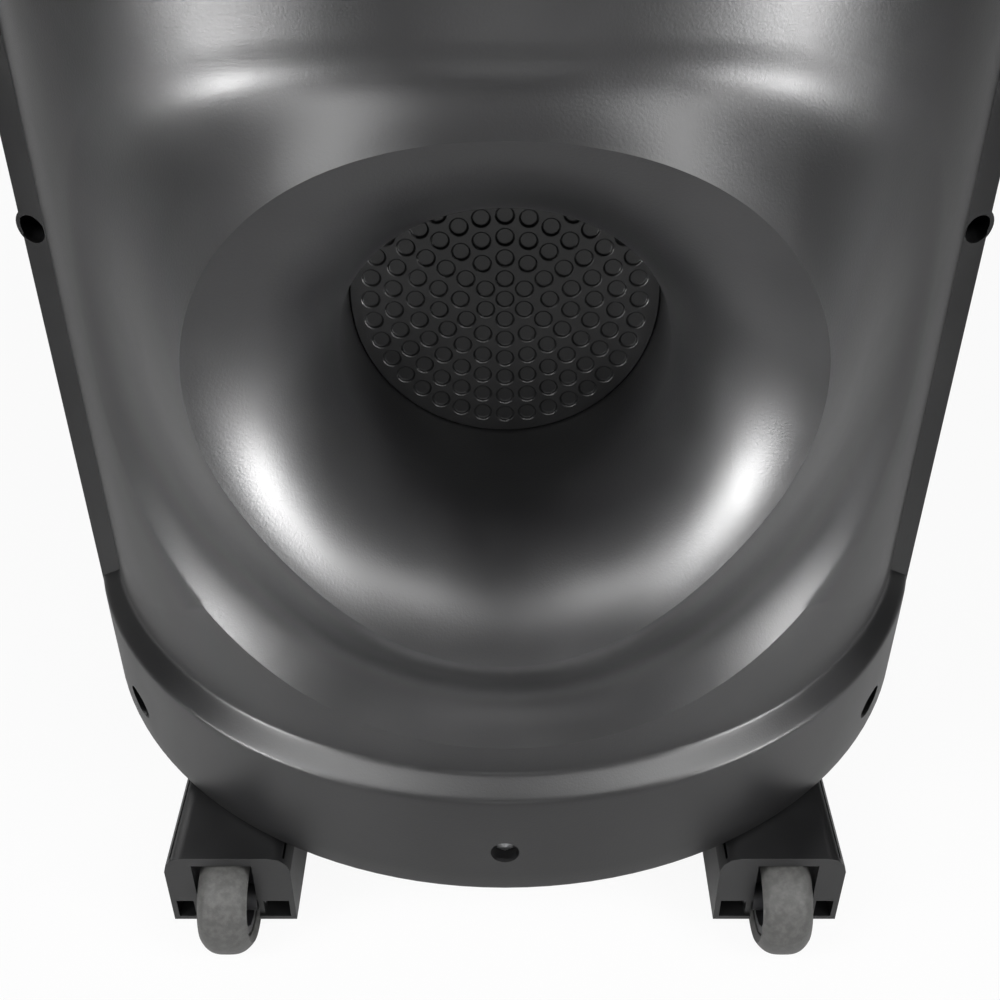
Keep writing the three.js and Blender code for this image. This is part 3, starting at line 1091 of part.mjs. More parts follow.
function innards() {
  const batteryFront = SEAM_Y - BATTERY_BEHIND_SEAM;
  const batteryTop = BATTERY_BOTTOM + BATTERY_HEIGHT;
  const middleY = batteryFront - BATTERY_DEPTH / 2;
  let battery = block(-BATTERY_WIDTH / 2, BATTERY_WIDTH / 2, batteryFront - BATTERY_DEPTH, batteryFront,
    BATTERY_BOTTOM, batteryTop);
  for (const side of [-1, 1]) {
    const x = side * (BATTERY_WIDTH / 2 - 2 * TERMINAL);
    battery = battery.add(block(x - TERMINAL / 2, x + TERMINAL / 2, middleY - TERMINAL, middleY,
      batteryTop - GAP, batteryTop + TERMINAL / 2));
  }
  addPiece('battery', battery, plastic(0x22242a, 0.6));
  const boardFront = PANEL_Y + BOARD_STAND_OFF;
  const boardBack = boardFront + BOARD_THICKNESS;
  const middle = (PANEL_BOTTOM + PANEL_TOP) / 2;
  addPiece('amplifier_board', blockAt(0, middle, BOARD_WIDTH / 2, BOARD_HEIGHT / 2, boardFront, boardBack),
    plastic(0x1d3a24, 0.5));
  const base = boardBack + GAP;
  let sink = blockAt(0, middle, SINK_WIDTH / 2, SINK_HEIGHT / 2, base, base + SINK_BASE);
  const fins = Math.floor((SINK_WIDTH - FIN_THICKNESS) / FIN_PITCH);
  for (let i = 0; i <= fins; i += 1) {
    sink = sink.add(blockAt((i - fins / 2) * FIN_PITCH, middle, FIN_THICKNESS / 2, SINK_HEIGHT / 2,
      base + SINK_BASE / 2, base + SINK_DEPTH));
  }
  addPiece('heat_sink', sink, metal(0x8a8c90, 0.45));
}

function screws() {
  for (const { name, x, z, floorY } of screwPlaces) {
    const seat = floorY - GAP;
    const face = seat - HEAD_HEIGHT;
    const profile = [[0, face], [SCREW_HEAD / 2, seat - HEAD_HEIGHT / 2], [SCREW_HEAD / 2, seat],
      [SCREW_SHANK / 2, seat], [SCREW_SHANK / 2, seat + SCREW_LENGTH], [0, seat + SCREW_LENGTH]];
    addPiece(name, turned(profile, 'y', x, 0, z, SMALL_SIDES), steel());
  }
}

rearShell();
dishMoulding();
dishDisc();
frontShell();
frontGrille();
woofer();
tweeter();
for (const [side, end] of [[-1, 'left'], [1, 'right']]) {
  wheelHousing(side, end);
  wheel(side, end);
  frontFoot(side, end);
}
controlPanel();
controls();
sockets();
handleTray();
trolleyHandle();
carryHandle();
innards();
screws();

export default product;
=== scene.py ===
"""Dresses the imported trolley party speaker: its moulded rear, wheels, handles, panel and grille.

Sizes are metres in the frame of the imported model: +Z is up, +X is right and the rear faces -Y.
"""
from __future__ import annotations

import json
import logging
import math
from dataclasses import dataclass, replace
from enum import Enum

import bmesh
import bpy
import numpy as np
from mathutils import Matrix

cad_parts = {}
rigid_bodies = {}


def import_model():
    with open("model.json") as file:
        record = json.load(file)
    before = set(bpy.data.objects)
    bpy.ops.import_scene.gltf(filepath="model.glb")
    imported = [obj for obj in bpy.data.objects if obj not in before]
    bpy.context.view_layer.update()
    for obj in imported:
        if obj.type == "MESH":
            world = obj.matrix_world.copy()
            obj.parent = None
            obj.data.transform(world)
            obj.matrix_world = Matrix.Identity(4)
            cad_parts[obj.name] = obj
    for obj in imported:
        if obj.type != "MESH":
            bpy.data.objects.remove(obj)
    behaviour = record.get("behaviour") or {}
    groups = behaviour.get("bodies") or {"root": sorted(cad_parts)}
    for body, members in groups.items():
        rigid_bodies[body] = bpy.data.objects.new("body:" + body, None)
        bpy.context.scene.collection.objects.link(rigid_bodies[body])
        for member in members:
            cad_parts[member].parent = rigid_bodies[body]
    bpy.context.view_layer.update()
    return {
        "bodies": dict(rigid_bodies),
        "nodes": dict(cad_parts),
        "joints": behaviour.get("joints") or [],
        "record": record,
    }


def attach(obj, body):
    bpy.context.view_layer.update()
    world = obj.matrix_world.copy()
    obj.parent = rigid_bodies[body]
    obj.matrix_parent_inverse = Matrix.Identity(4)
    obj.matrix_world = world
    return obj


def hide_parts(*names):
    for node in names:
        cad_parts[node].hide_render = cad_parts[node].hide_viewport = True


LOG = logging.getLogger("speaker")
MM = 0.001
MERGE = 2e-6
# Degrees past which an edge stays crisp: on most pieces, and on the moulding and the disc
CREASE = 35.0
FINE_CREASE = 20.0
# A place behind the object, from which cutters reach in
OUTSIDE_Y = -250 * MM
CABINET = "cabinet"
Colour = tuple[float, float, float]


class Axis(Enum):
    """The direction that a turned piece's axis runs along."""

    X = 0
    Y = 1
    Z = 2


class Value:
    """A shader socket that takes part in arithmetic, each step of which adds a Math node."""

    def __init__(self, graph: Graph, socket: bpy.types.NodeSocket) -> None:
        """Wraps a socket of a graph."""
        self.graph = graph
        self.socket = socket

    def apply(self, operation: str, *others: Value | float) -> Value:
        """Adds a Math node of the named operation with this socket as its first value."""
        values = dict(enumerate((self, *others)))
        return self.graph.add("ShaderNodeMath", {"operation": operation}, values)

    def __add__(self, other: Value | float) -> Value:
        """Adds the two values."""
        return self.apply("ADD", other)

    def __mul__(self, other: Value | float) -> Value:
        """Multiplies the two values."""
        return self.apply("MULTIPLY", other)

    def __sub__(self, other: Value | float) -> Value:
        """Takes the other value away."""
        return self.apply("SUBTRACT", other)

    def __truediv__(self, other: float) -> Value:
        """Divides by a number."""
        return self.apply("DIVIDE", other)

    def __rsub__(self, other: float) -> Value:
        """Takes this value away from a number."""
        return self.graph.add("ShaderNodeMath", {"operation": "SUBTRACT"}, {0: other, 1: self})

    __radd__ = __add__
    __rmul__ = __mul__


class Graph:
    """The node tree of one material, with its shader and output."""

    def __init__(self, name: str) -> None:
        """Starts a material with an empty node tree."""
        self.material = bpy.data.materials.new(name)
        self.material.use_nodes = True
        self.tree = self.material.node_tree
        self.tree.nodes.clear()

    def add(self, kind: str, settings: dict[str, object] | None = None,
            inputs: dict[str | int, object] | None = None, output: str | int = 0) -> Value:
        """Adds a node.

        Args:
            kind: The node's type.
            settings: Its own settings, set first.
            inputs: Values or links for its sockets, by name or number.
            output: The output to hand back.

        Returns:
            The output socket, ready for arithmetic.
        """
        node = self.tree.nodes.new(kind)
        for key, value in (settings or {}).items():
            setattr(node, key, value)
        for key, value in (inputs or {}).items():
            if isinstance(value, Value):
                self.tree.links.new(value.socket, node.inputs[key])
            else:
                node.inputs[key].default_value = value
        return Value(self, node.outputs[output])

    def place(self) -> Value:
        """Object coordinates, in metres."""
        return self.add("ShaderNodeTexCoord", output="Object")

    def noise(self, size: float, detail: float = 2.0, roughness: float = 0.5) -> Value:
        """Noise whose features are about the given size in metres."""
        return self.add("ShaderNodeTexNoise", {"noise_dimensions": "3D"},
                        {"Vector": self.place(), "Scale": 1 / size, "Detail": detail,
                         "Roughness": roughness}, "Fac")

    def ramp(self, value: Value, low: float, high: float) -> Value:
        """Maps low to 0 and high to 1, smoothly, and holds both ends."""
        return self.add("ShaderNodeMapRange", {"interpolation_type": "SMOOTHSTEP"},
                        {"Value": value, "From Min": low, "From Max": high})

    def mix(self, factor: Value, first: Colour, second: Colour | Value) -> Value:
        """Mixes two colours by a factor."""
        colours = [value if isinstance(value, Value) else (*value, 1.0) for value in (first, second)]
        return self.add("ShaderNodeMix", {"data_type": "RGBA"},
                        {"Factor": factor, 6: colours[0], 7: colours[1]}, 2)

    def bump(self, height: Value, distance: float, strength: float = 1.0) -> Value:
        """A normal tilted by a height map of the given depth in metres."""
        return self.add("ShaderNodeBump", {}, {"Height": height, "Distance": distance,
                                               "Strength": strength})

    def end(self, shader: Value) -> bpy.types.Material:
        """Links a shader to the material's output."""
        output = self.tree.nodes.new("ShaderNodeOutputMaterial")
        self.tree.links.new(shader.socket, output.inputs["Surface"])
        return self.material

    def surface(self, inputs: dict[str, object]) -> bpy.types.Material:
        """Ends the graph with a Principled BSDF and its output."""
        return self.end(self.add("ShaderNodeBsdfPrincipled", {}, inputs))


@dataclass(frozen=True)
class MouldedPlastic:
    """Black plastic with a spark-eroded grain, faint mottling and dust."""

    name: str
    colour: Colour = (0.008, 0.008, 0.0084)
    dust: Colour = (0.016, 0.016, 0.0165)
    roughness: float = 0.35
    grain_size: float = 0.9 * MM
    grain_depth: float = 0.06 * MM
    mottle_size: float = 40 * MM

    def material(self) -> bpy.types.Material:
        """Builds the material."""
        graph = Graph(self.name)
        grain = graph.noise(self.grain_size, 3.0, 0.6)
        mottle = graph.ramp(graph.noise(self.mottle_size, 4.0), 0.35, 0.75)
        specks = graph.ramp(graph.noise(2.2 * MM, 1.0), 0.76, 0.8)
        colour = graph.mix(mottle * 0.5 + specks * 0.25, self.colour, self.dust)
        return graph.surface({
            "Base Color": colour,
            "Roughness": self.roughness - 0.02 + mottle * 0.05 + grain * 0.04,
            "Normal": graph.bump(grain, self.grain_depth),
        })


@dataclass(frozen=True)
class Rubber:
    """Dull rubber with a fine surface and paler worn patches."""

    name: str
    colour: Colour = (0.02, 0.02, 0.02)
    worn: Colour = (0.04, 0.04, 0.038)
    roughness: float = 0.7
    patch_size: float = 12 * MM

    def material(self) -> bpy.types.Material:
        """Builds the material."""
        graph = Graph(self.name)
        patches = graph.ramp(graph.noise(self.patch_size, 5.0, 0.6), 0.35, 0.7)
        fine = graph.noise(0.5 * MM, 2.0)
        return graph.surface({
            "Base Color": graph.mix(patches, self.colour, self.worn),
            "Roughness": self.roughness + patches * 0.12,
            "Normal": graph.bump(fine, 0.08 * MM),
        })


@dataclass(frozen=True)
class Metal:
    """Plated, painted or plain metal with faint scratches."""

    name: str
    colour: Colour = (0.4, 0.4, 0.41)
    tarnish: Colour = (0.28, 0.28, 0.29)
    metallic: float = 1.0
    roughness: float = 0.32

    def material(self) -> bpy.types.Material:
        """Builds the material."""
        graph = Graph(self.name)
        stain = graph.ramp(graph.noise(15 * MM, 4.0), 0.3, 0.75)
        fine = graph.noise(0.4 * MM, 2.0)
        return graph.surface({
            "Base Color": graph.mix(stain, self.colour, self.tarnish),
            "Metallic": self.metallic,
            "Roughness": self.roughness + stain * 0.1 + fine * 0.05,
            "Normal": graph.bump(fine, 0.02 * MM),
        })


@dataclass(frozen=True)
class Glass:
    """A dark glossy window."""

    name: str
    colour: Colour = (0.006, 0.007, 0.01)

    def material(self) -> bpy.types.Material:
        """Builds the material."""
        graph = Graph(self.name)
        smear = graph.noise(9 * MM, 3.0)
        return graph.surface({
            "Base Color": graph.mix(smear, self.colour, tuple(2 * c for c in self.colour)),
            "Roughness": smear * 0.08 + 0.04,
        })


@dataclass(frozen=True)
class Perforated:
    """Painted steel sheet pierced by rows of round holes, each row set off by half a pitch."""

    name: str
    colour: Colour = (0.012, 0.012, 0.013)
    pitch: float = 4.2 * MM
    hole: float = 2.9 * MM

    def material(self) -> bpy.types.Material:
        """Builds the material: the distance to the nearest hole centre sets the openings."""
        graph = Graph(self.name)
        place = graph.place()
        x = graph.add("ShaderNodeSeparateXYZ", {}, {0: place}, "X")
        z = graph.add("ShaderNodeSeparateXYZ", {}, {0: place}, "Z")
        row = self.pitch * math.sqrt(3)
        nearest = None
        for shift in (0.0, 0.5):
            across = (x / self.pitch + (100 + shift)).apply("FRACT") - 0.5
            along = (z / row + (100 + shift)).apply("FRACT") - 0.5
            wide = across * self.pitch
            high = along * row
            span = (wide * wide + high * high).apply("SQRT")
            nearest = span if nearest is None else nearest.apply("MINIMUM", span)
        solid = graph.ramp(nearest, self.hole / 2 - 0.08 * MM, self.hole / 2 + 0.08 * MM)
        fine = graph.noise(0.5 * MM, 2.0)
        return graph.surface({
            "Base Color": graph.mix(fine, self.colour, tuple(1.8 * c for c in self.colour)),
            "Metallic": 0.0,
            "Roughness": fine * 0.1 + 0.4,
            "Alpha": solid,
            "Normal": graph.bump(graph.ramp(nearest, self.hole / 2, self.hole / 2 + 0.5 * MM), 0.25 * MM),
        })


class Shape:
    """A mesh under construction: points and faces that are gathered and then made an object."""

    def __init__(self) -> None:
        """Starts with nothing in it."""
        self.points: list[np.ndarray] = []
        self.faces: list[list[int]] = []
        self.count = 0

    def grid(self, points: np.ndarray, wrap: bool = False) -> np.ndarray:
        """Adds a grid of points and the quads between them.

        Args:
            points: An array of rows, columns and 3 coordinates.
            wrap: Whether the last column joins the first.

        Returns:
            The number of each point, in rows and columns.
        """
        rows, columns = points.shape[:2]
        numbers = self.count + np.arange(rows * columns).reshape(rows, columns)
        ahead = np.roll(numbers, -1, axis=1)
        span = columns if wrap else columns - 1
        quads = np.stack([numbers[:-1, :span], ahead[:-1, :span], ahead[1:, :span],
                          numbers[1:, :span]], axis=-1)
        self.points.append(points.reshape(-1, 3))
        self.faces.extend(quads.reshape(-1, 4).tolist())
        self.count += rows * columns
        return numbers

    def face(self, numbers: list[int] | np.ndarray) -> None:
        """Adds one face through numbered points."""
        self.faces.append([int(n) for n in numbers])

    def build(self, name: str, sharp: float = CREASE, weld: float = MERGE) -> bpy.types.Object:
        """Makes the object: close points are merged and its faces turned outwards.

        Args:
            name: The piece's name.
            sharp: Edges steeper than this many degrees stay crisp.
            weld: Points closer than this are merged.

        Returns:
            The object, linked to the scene.
        """
        mesh = bpy.data.meshes.new(name)
        mesh.from_pydata(np.concatenate(self.points).tolist(), [], self.faces)
        return finished(name, mesh, sharp, weld)


def finished(name: str, mesh: bpy.types.Mesh, sharp: float = CREASE, weld: float = MERGE,
             turn: bool = True) -> bpy.types.Object:
    """Welds a mesh, turns its faces outwards and makes it a smooth object with crisp edges."""
    edit = bmesh.new()
    edit.from_mesh(mesh)
    bmesh.ops.remove_doubles(edit, verts=edit.verts, dist=weld)
    bmesh.ops.dissolve_degenerate(edit, edges=edit.edges, dist=weld)
    if turn:
        bmesh.ops.recalc_face_normals(edit, faces=edit.faces)
    edit.to_mesh(mesh)
    edit.free()
    mesh.polygons.foreach_set("use_smooth", np.ones(len(mesh.polygons), bool))
    mesh.set_sharp_from_angle(angle=math.radians(sharp))
    piece = bpy.data.objects.new(name, mesh)
    bpy.context.scene.collection.objects.link(piece)
    return piece


def turned(profile: np.ndarray, axis: Axis, centre: tuple[float, float, float], steps: int,
           shape: Shape | None = None) -> Shape:
    """Turns a profile round an axis.

    Args:
        profile: Rows of radius and distance along the axis; it starts and ends on the axis or closes.
        axis: The direction of the axis.
        centre: A point on the axis from which distances run.
        steps: The number of columns round the axis.
        shape: The mesh to add it to, or None for a new one.

    Returns:
        The mesh that holds it.
    """
    shape = shape or Shape()
    angle = np.linspace(0, 2 * math.pi, steps, endpoint=False)
    radius, along = profile[:, :1], profile[:, 1:]
    first, second = radius * np.cos(angle), radius * np.sin(angle)
    order = {Axis.X: (along + 0 * angle, first, second), Axis.Y: (first, along + 0 * angle, second),
             Axis.Z: (first, second, along + 0 * angle)}[axis]
    shape.grid(np.stack(order, axis=-1) + np.array(centre), wrap=True)
    return shape


def cut(piece: bpy.types.Object, cutters: list[bpy.types.Object], sharp: float = CREASE) -> None:
    """Takes the cutters away from a piece and removes them."""
    for cutter in cutters:
        modifier = piece.modifiers.new("cut", "BOOLEAN")
        modifier.operation = "DIFFERENCE"
        modifier.solver = "EXACT"
        modifier.object = cutter
    graph = bpy.context.evaluated_depsgraph_get()
    mesh = bpy.data.meshes.new_from_object(piece.evaluated_get(graph), depsgraph=graph)
    piece.modifiers.clear()
    piece.data = mesh
    mesh.polygons.foreach_set("use_smooth", np.ones(len(mesh.polygons), bool))
    mesh.set_sharp_from_angle(angle=math.radians(sharp))
    for cutter in cutters:
        bpy.data.objects.remove(cutter)


def dress(piece: bpy.types.Object, material: bpy.types.Material, slot: str, body: str = CABINET,
          replaced: tuple[str, ...] = ()) -> bpy.types.Object:
    """Gives a piece its material, the body it rides on and the nodes it stands for."""
    piece.data.materials.clear()
    piece.data.materials.append(material)
    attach(piece, body)
    if replaced:
        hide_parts(*replaced)
    LOG.info("%s: %d faces, on %s", piece.name, len(piece.data.polygons), body)
    return piece


@dataclass
class RearMoulding:
    """The half-round rear shell with its ledge, side steps, ring, trough and flared dish."""

    skirt_radius: float = 207 * MM
    inset_radius: float = 198 * MM
    centre_y: float = 28 * MM
    seam_y: float = 50 * MM
    wall: float = 3.5 * MM
    bottom: float = 59 * MM
    top: float = 690 * MM
    base_fillet: float = 3 * MM
    top_fillet: float = 14 * MM
    ledge_low: float = 114 * MM
    ledge_high: float = 122 * MM
    arc_half: float = math.radians(86)
    step_start: float = math.radians(70)
    step_turn: float = math.radians(25)
    relief_bottom: float = 124 * MM
    relief_top: float = 452 * MM
    dish_z: float = 283 * MM
    mouth_radius: float = 100.5 * MM
    mouth_lift: float = 0.068
    mouth_lobe: float = 0.053
    throat_radius: float = 61 * MM
    throat_y: float = -111 * MM
    floor_y: float = -67.2 * MM
    flare_depth: float = 70 * MM
    flare_end: float = math.radians(25)
    trough_depth: float = 9 * MM
    trough_top_share: float = 0.15
    flank_low_share: float = 0.7
    flank_curve: float = 1.8
    trough_lean: float = 1.3
    rim_z: float = 262 * MM
    rim_half_width: float = 162 * MM
    rim_drop: float = 126 * MM
    rim_rise: float = 151 * MM
    rim_low_power: float = 2.2
    rim_high_power: float = 3.0
    ledge_softness: float = 0.012
    ledge_row_step: float = 1.6 * MM
    arc_steps: int = 28
    trough_crowding: float = 1.2
    crisp_share: float = 0.5
    crisp_gain: float = 1.4

    def ledge_share(self, z: np.ndarray) -> np.ndarray:
        """How far the inset has come at a height: 0 at the skirt, 1 above the ledge, ends rounded."""
        t = (z - self.ledge_low) / (self.ledge_high - self.ledge_low)
        soft = self.ledge_softness
        return (np.sqrt(t * t + soft) - np.sqrt((t - 1) ** 2 + soft) + 1) / 2

    def fillet(self, z: np.ndarray) -> np.ndarray:
        """How far the top and bottom fillets draw the outline in at a height."""
        low = np.clip((self.bottom + self.base_fillet - z) / self.base_fillet, 0, 1)
        high = np.clip((z - self.top + self.top_fillet) / self.top_fillet, 0, 1)
        return (self.base_fillet * (1 - np.sqrt(1 - low ** 2))
                + self.top_fillet * (1 - np.sqrt(1 - high ** 2)))

    def half_outline(self, z: np.ndarray, heights: np.ndarray, depth: float) -> np.ndarray:
        """One half of the plan at each height, from the rear middle to the seam.

        Each row runs along the inset arc, out along the side step, round the skirt arc and along
        the straight side. The step line meets the two arcs where line and circle cross.

        Args:
            z: Heights that the shape follows.
            heights: Heights that the points are given.
            depth: How far the outline lies inside the outer skin.

        Returns:
            Points in rows and columns.
        """
        outer = (self.skirt_radius - depth - self.fillet(z))[:, None]
        drop = (self.skirt_radius - self.inset_radius) * self.ledge_share(z)[:, None]
        inset = np.minimum(outer, self.skirt_radius - depth - drop)
        along = np.array([math.cos(self.step_turn), math.sin(self.step_turn)])
        into = np.array([-along[1], along[0]])
        corner = np.array([math.sin(self.step_start), -math.cos(self.step_start)]) * self.inset_radius
        corner = corner + depth * into
        reach = corner @ along
        spare = corner @ corner

        def crossing(radius: np.ndarray) -> np.ndarray:
            """Where the step line crosses a circle round the arc centre."""
            far = -reach + np.sqrt(reach ** 2 - spare + radius ** 2)
            return corner + far * along

        inner_corner, outer_corner = crossing(inset), crossing(outer)
        inner_angle = np.arctan2(inner_corner[:, :1], -inner_corner[:, 1:])
        outer_angle = np.arctan2(outer_corner[:, :1], -outer_corner[:, 1:])
        rear = inner_angle * np.linspace(0, 1, self.arc_steps + 1)
        skirt = outer_angle + (self.arc_half - outer_angle) * np.linspace(0, 1, 7)[1:]
        step = np.linspace(0, 1, 4)[1:, None]
        on_arc = [np.stack([radius * np.sin(angle), -radius * np.cos(angle)], -1)
                  for radius, angle in ((inset, rear), (outer, skirt))]
        on_step = inner_corner[:, None] + (outer_corner - inner_corner)[:, None] * step
        last = on_arc[1][:, -1:]
        run = (self.seam_y - self.centre_y - last[..., 1:]) * np.linspace(0, 1, 5)[1:, None]
        side = last + np.concatenate([run / math.tan(self.arc_half), run], -1)
        plan = np.concatenate([on_arc[0], on_step, on_arc[1], side], axis=1)
        level = np.broadcast_to(heights[:, None, None], (*plan.shape[:2], 1))
        return np.concatenate([plan[..., :1], plan[..., 1:] + self.centre_y, level], axis=-1)

    def heights(self) -> np.ndarray:
        """Row heights of the outer skin, close together where it bends."""
        quarter = np.linspace(0, math.pi / 2, 5)
        low = self.bottom + self.base_fillet * (1 - np.cos(quarter))
        high = self.top - self.top_fillet * (1 - np.sin(np.linspace(0, math.pi / 2, 9)))
        edge = self.ledge_row_step
        return np.concatenate([
            low, np.linspace(low[-1], self.ledge_low - 2 * edge, 7)[1:],
            np.linspace(self.ledge_low - edge, self.relief_bottom, 15),
            np.linspace(self.relief_bottom, self.relief_top, 43)[1:],
            np.linspace(self.relief_top, high[0], 20)[1:-1], high])

    def wall_y(self, x: np.ndarray, depth: float) -> np.ndarray:
        """Where the inset cylinder, or one inside it, is met at a distance from the middle."""
        return self.centre_y - np.sqrt((self.inset_radius - depth) ** 2 - x ** 2)

    def rings(self, border: np.ndarray, depth: float) -> np.ndarray:
        """Rings from the dish's middle out to the border of the relief.

        Args:
            border: The loop of points that the outermost ring ends on.
            depth: How far the rings lie inside the outer skin.

        Returns:
            Points in rings and rays.
        """
        angle = np.arctan2(border[:, 0], self.rim_z - border[:, 2])
        out = np.stack([np.sin(angle), -np.cos(angle)], -1)
        low = (1 + np.cos(angle)) / 2
        throat = self.throat_radius + depth
        floor = self.floor_y + depth
        mouth = self.mouth(angle)
        spread = (mouth - self.throat_radius) / (self.flare_depth * (1 - math.sin(self.flare_end)))
        bend = self.flare_depth - depth
        radii = [0 * angle, 0 * angle + throat / 2, 0 * angle + throat] + [0 * angle + throat] * 3
        depths = [floor, floor, floor, *np.linspace(floor, self.throat_y, 4)[1:]]
        for t in np.linspace(math.pi / 2, self.flare_end, 34)[1:-1]:
            radii.append(self.throat_radius + (self.flare_depth - bend * math.sin(t)) * spread)
            depths.append(self.throat_y - bend * math.cos(t))
        flat = [np.stack([r * out[:, 0], 0 * r + y, self.dish_z + r * out[:, 1]], -1)
                for r, y in zip(radii, depths)]
        crest_y = self.throat_y - self.flare_depth * math.cos(self.flare_end)
        crest = out * mouth[:, None] + np.array([0, self.dish_z])
        rim = self.rim(angle)
        rise = self.wall_y(crest[:, 0], 0) - crest_y
        flank = 1 + (self.flank_low_share - 1) * low
        amount = self.trough_depth * (self.trough_top_share + (1 - self.trough_top_share) * low)
        crisp = np.clip(self.crisp_share + self.crisp_gain * np.cos(angle), 0, 1)
        for s in np.linspace(0, 1, 41) ** self.trough_crowding:
            place = crest + (rim - crest) * s
            near = np.minimum(1, s / flank)
            fall = (1 - near) ** self.flank_curve * (1 - low) + (0.5 + 0.5 * np.cos(math.pi * near)) * low
            wave = math.sin(math.pi * s ** self.trough_lean)
            hollow = crisp * wave + (1 - crisp) * wave * wave
            y = self.wall_y(place[:, 0], depth) - rise * fall + amount * hollow
            flat.append(np.stack([place[:, 0], y, place[:, 1]], -1))
        for s in np.linspace(0, 1, 6)[1:-1]:
            place = rim + (border[:, [0, 2]] - rim) * s
            flat.append(np.stack([place[:, 0], self.wall_y(place[:, 0], depth), place[:, 1]], -1))
        return np.stack([*flat, border])

    def mouth(self, angle: np.ndarray) -> np.ndarray:
        """Distance of the crisp mouth edge from the dish axis at an angle from straight down."""
        return self.mouth_radius * (1 - self.mouth_lift * np.cos(angle) + self.mouth_lobe * np.cos(3 * angle))

    def rim(self, angle: np.ndarray) -> np.ndarray:
        """The egg-shaped outer edge of the trough at an angle from straight down."""
        low = np.cos(angle) > 0
        power = np.where(low, self.rim_low_power, self.rim_high_power)
        height = np.where(low, self.rim_drop, self.rim_rise)
        wide = (np.abs(np.sin(angle)) / self.rim_half_width) ** power
        high = (np.abs(np.cos(angle)) / height) ** power
        radius = (wide + high) ** (-1 / power)
        return np.stack([radius * np.sin(angle), self.rim_z - radius * np.cos(angle)], -1)

    def skin(self, shape: Shape, depth: float) -> np.ndarray:
        """Adds one skin of the shell: the wall grid, its relief, and its top and bottom.

        Args:
            shape: The mesh to add it to.
            depth: How far it lies inside the outer skin.

        Returns:
            The numbers of the wall grid's points.
        """
        z = self.heights()
        share = (z - self.bottom) / (self.top - self.bottom)
        level = z + depth * (1 - 2 * share) if depth else z
        half = self.half_outline(z, level, depth)
        mirrored = half[:, :0:-1] * np.array([-1, 1, 1])
        wall = np.concatenate([mirrored, half], axis=1)
        middle = half.shape[1] - 1
        columns = (middle - self.arc_steps, middle + self.arc_steps)
        rows = [int(np.argmin(np.abs(z - edge))) for edge in (self.relief_bottom, self.relief_top)]
        first = len(shape.faces)
        numbers = shape.grid(wall)
        width = wall.shape[1] - 1
        keep = np.ones((len(z) - 1, width), bool)
        keep[rows[0]:rows[1], columns[0]:columns[1]] = False
        shape.faces[first:] = [f for f, k in zip(shape.faces[first:], keep.ravel()) if k]
        block = wall[rows[0]:rows[1] + 1, columns[0]:columns[1] + 1]
        border = np.concatenate([block[0, :-1], block[:-1, -1], block[-1, :0:-1], block[:0:-1, 0]])
        shape.grid(self.rings(border, depth), wrap=True)
        shape.face(numbers[0])
        shape.face(numbers[-1])
        return numbers

    def build(self) -> bpy.types.Object:
        """Builds the closed shell: an outer and an inner skin, joined along the seam."""
        shape = Shape()
        outer, inner = self.skin(shape, 0), self.skin(shape, self.wall)
        for near, far in ((outer[:, 0], inner[:, 0]), (outer[:, -1], inner[:, -1])):
            for i in range(len(near) - 1):
                shape.face([near[i], near[i + 1], far[i + 1], far[i]])
        for row in (0, -1):
            shape.face([outer[row, 0], outer[row, -1], inner[row, -1], inner[row, 0]])
        return shape.build("rear_moulding", FINE_CREASE)

    def skin_y(self, x: float, z: float) -> float:
        """Where the outer skin lies at a point of the skirt or of the side step."""
        if z < self.ledge_low:
            return self.centre_y - math.sqrt(self.skirt_radius ** 2 - x * x)
        corner_x = self.inset_radius * math.sin(self.step_start)
        corner_y = self.centre_y - self.inset_radius * math.cos(self.step_start)
        if abs(x) < corner_x:
            return self.centre_y - math.sqrt(self.inset_radius ** 2 - x * x)
        return corner_y + (abs(x) - corner_x) * math.tan(self.step_turn)


@dataclass
class ScrewPlace:
    """A deep round recess in the rear shell with a screw at its bottom."""

    name: str
    x: float
    z: float
    floor_y: float
    end_y: float
    radius: float = 6 * MM
    wall: float = 2 * MM
    bore: float = 1.9 * MM
    tuck: float = 1.7 * MM
    cutter_gap: float = 6 * MM
    steps: int = 32

    def cutter(self) -> bpy.types.Object:
        """The round bar that opens the shell."""
        end = self.end_y - self.cutter_gap
        profile = np.array([[0, OUTSIDE_Y], [self.radius, OUTSIDE_Y], [self.radius, end], [0, end]])
        return turned(profile, Axis.Y, (self.x, 0, self.z), self.steps).build(f"{self.name}_cutter")

    def sleeve(self, shell: RearMoulding) -> bpy.types.Object:
        """The tube behind the opening: its mouth follows the wall and its floor holds the screw."""
        angle = np.linspace(0, 2 * math.pi, self.steps, endpoint=False)
        rings = []
        outer = self.radius + self.wall
        for radius, y in ((self.radius, None), (self.radius, self.floor_y), (self.bore, self.floor_y),
                          (self.bore, self.end_y), (outer, self.end_y), (outer, None),
                          (self.radius, None)):
            x = self.x + radius * np.cos(angle)
            z = self.z + radius * np.sin(angle)
            along = [shell.skin_y(a, b) + self.tuck for a, b in zip(x, z)] if y is None else 0 * x + y
            rings.append(np.stack([x, along, z], -1))
        shape = Shape()
        shape.grid(np.stack(rings), wrap=True)
        return shape.build(f"{self.name}_sleeve")


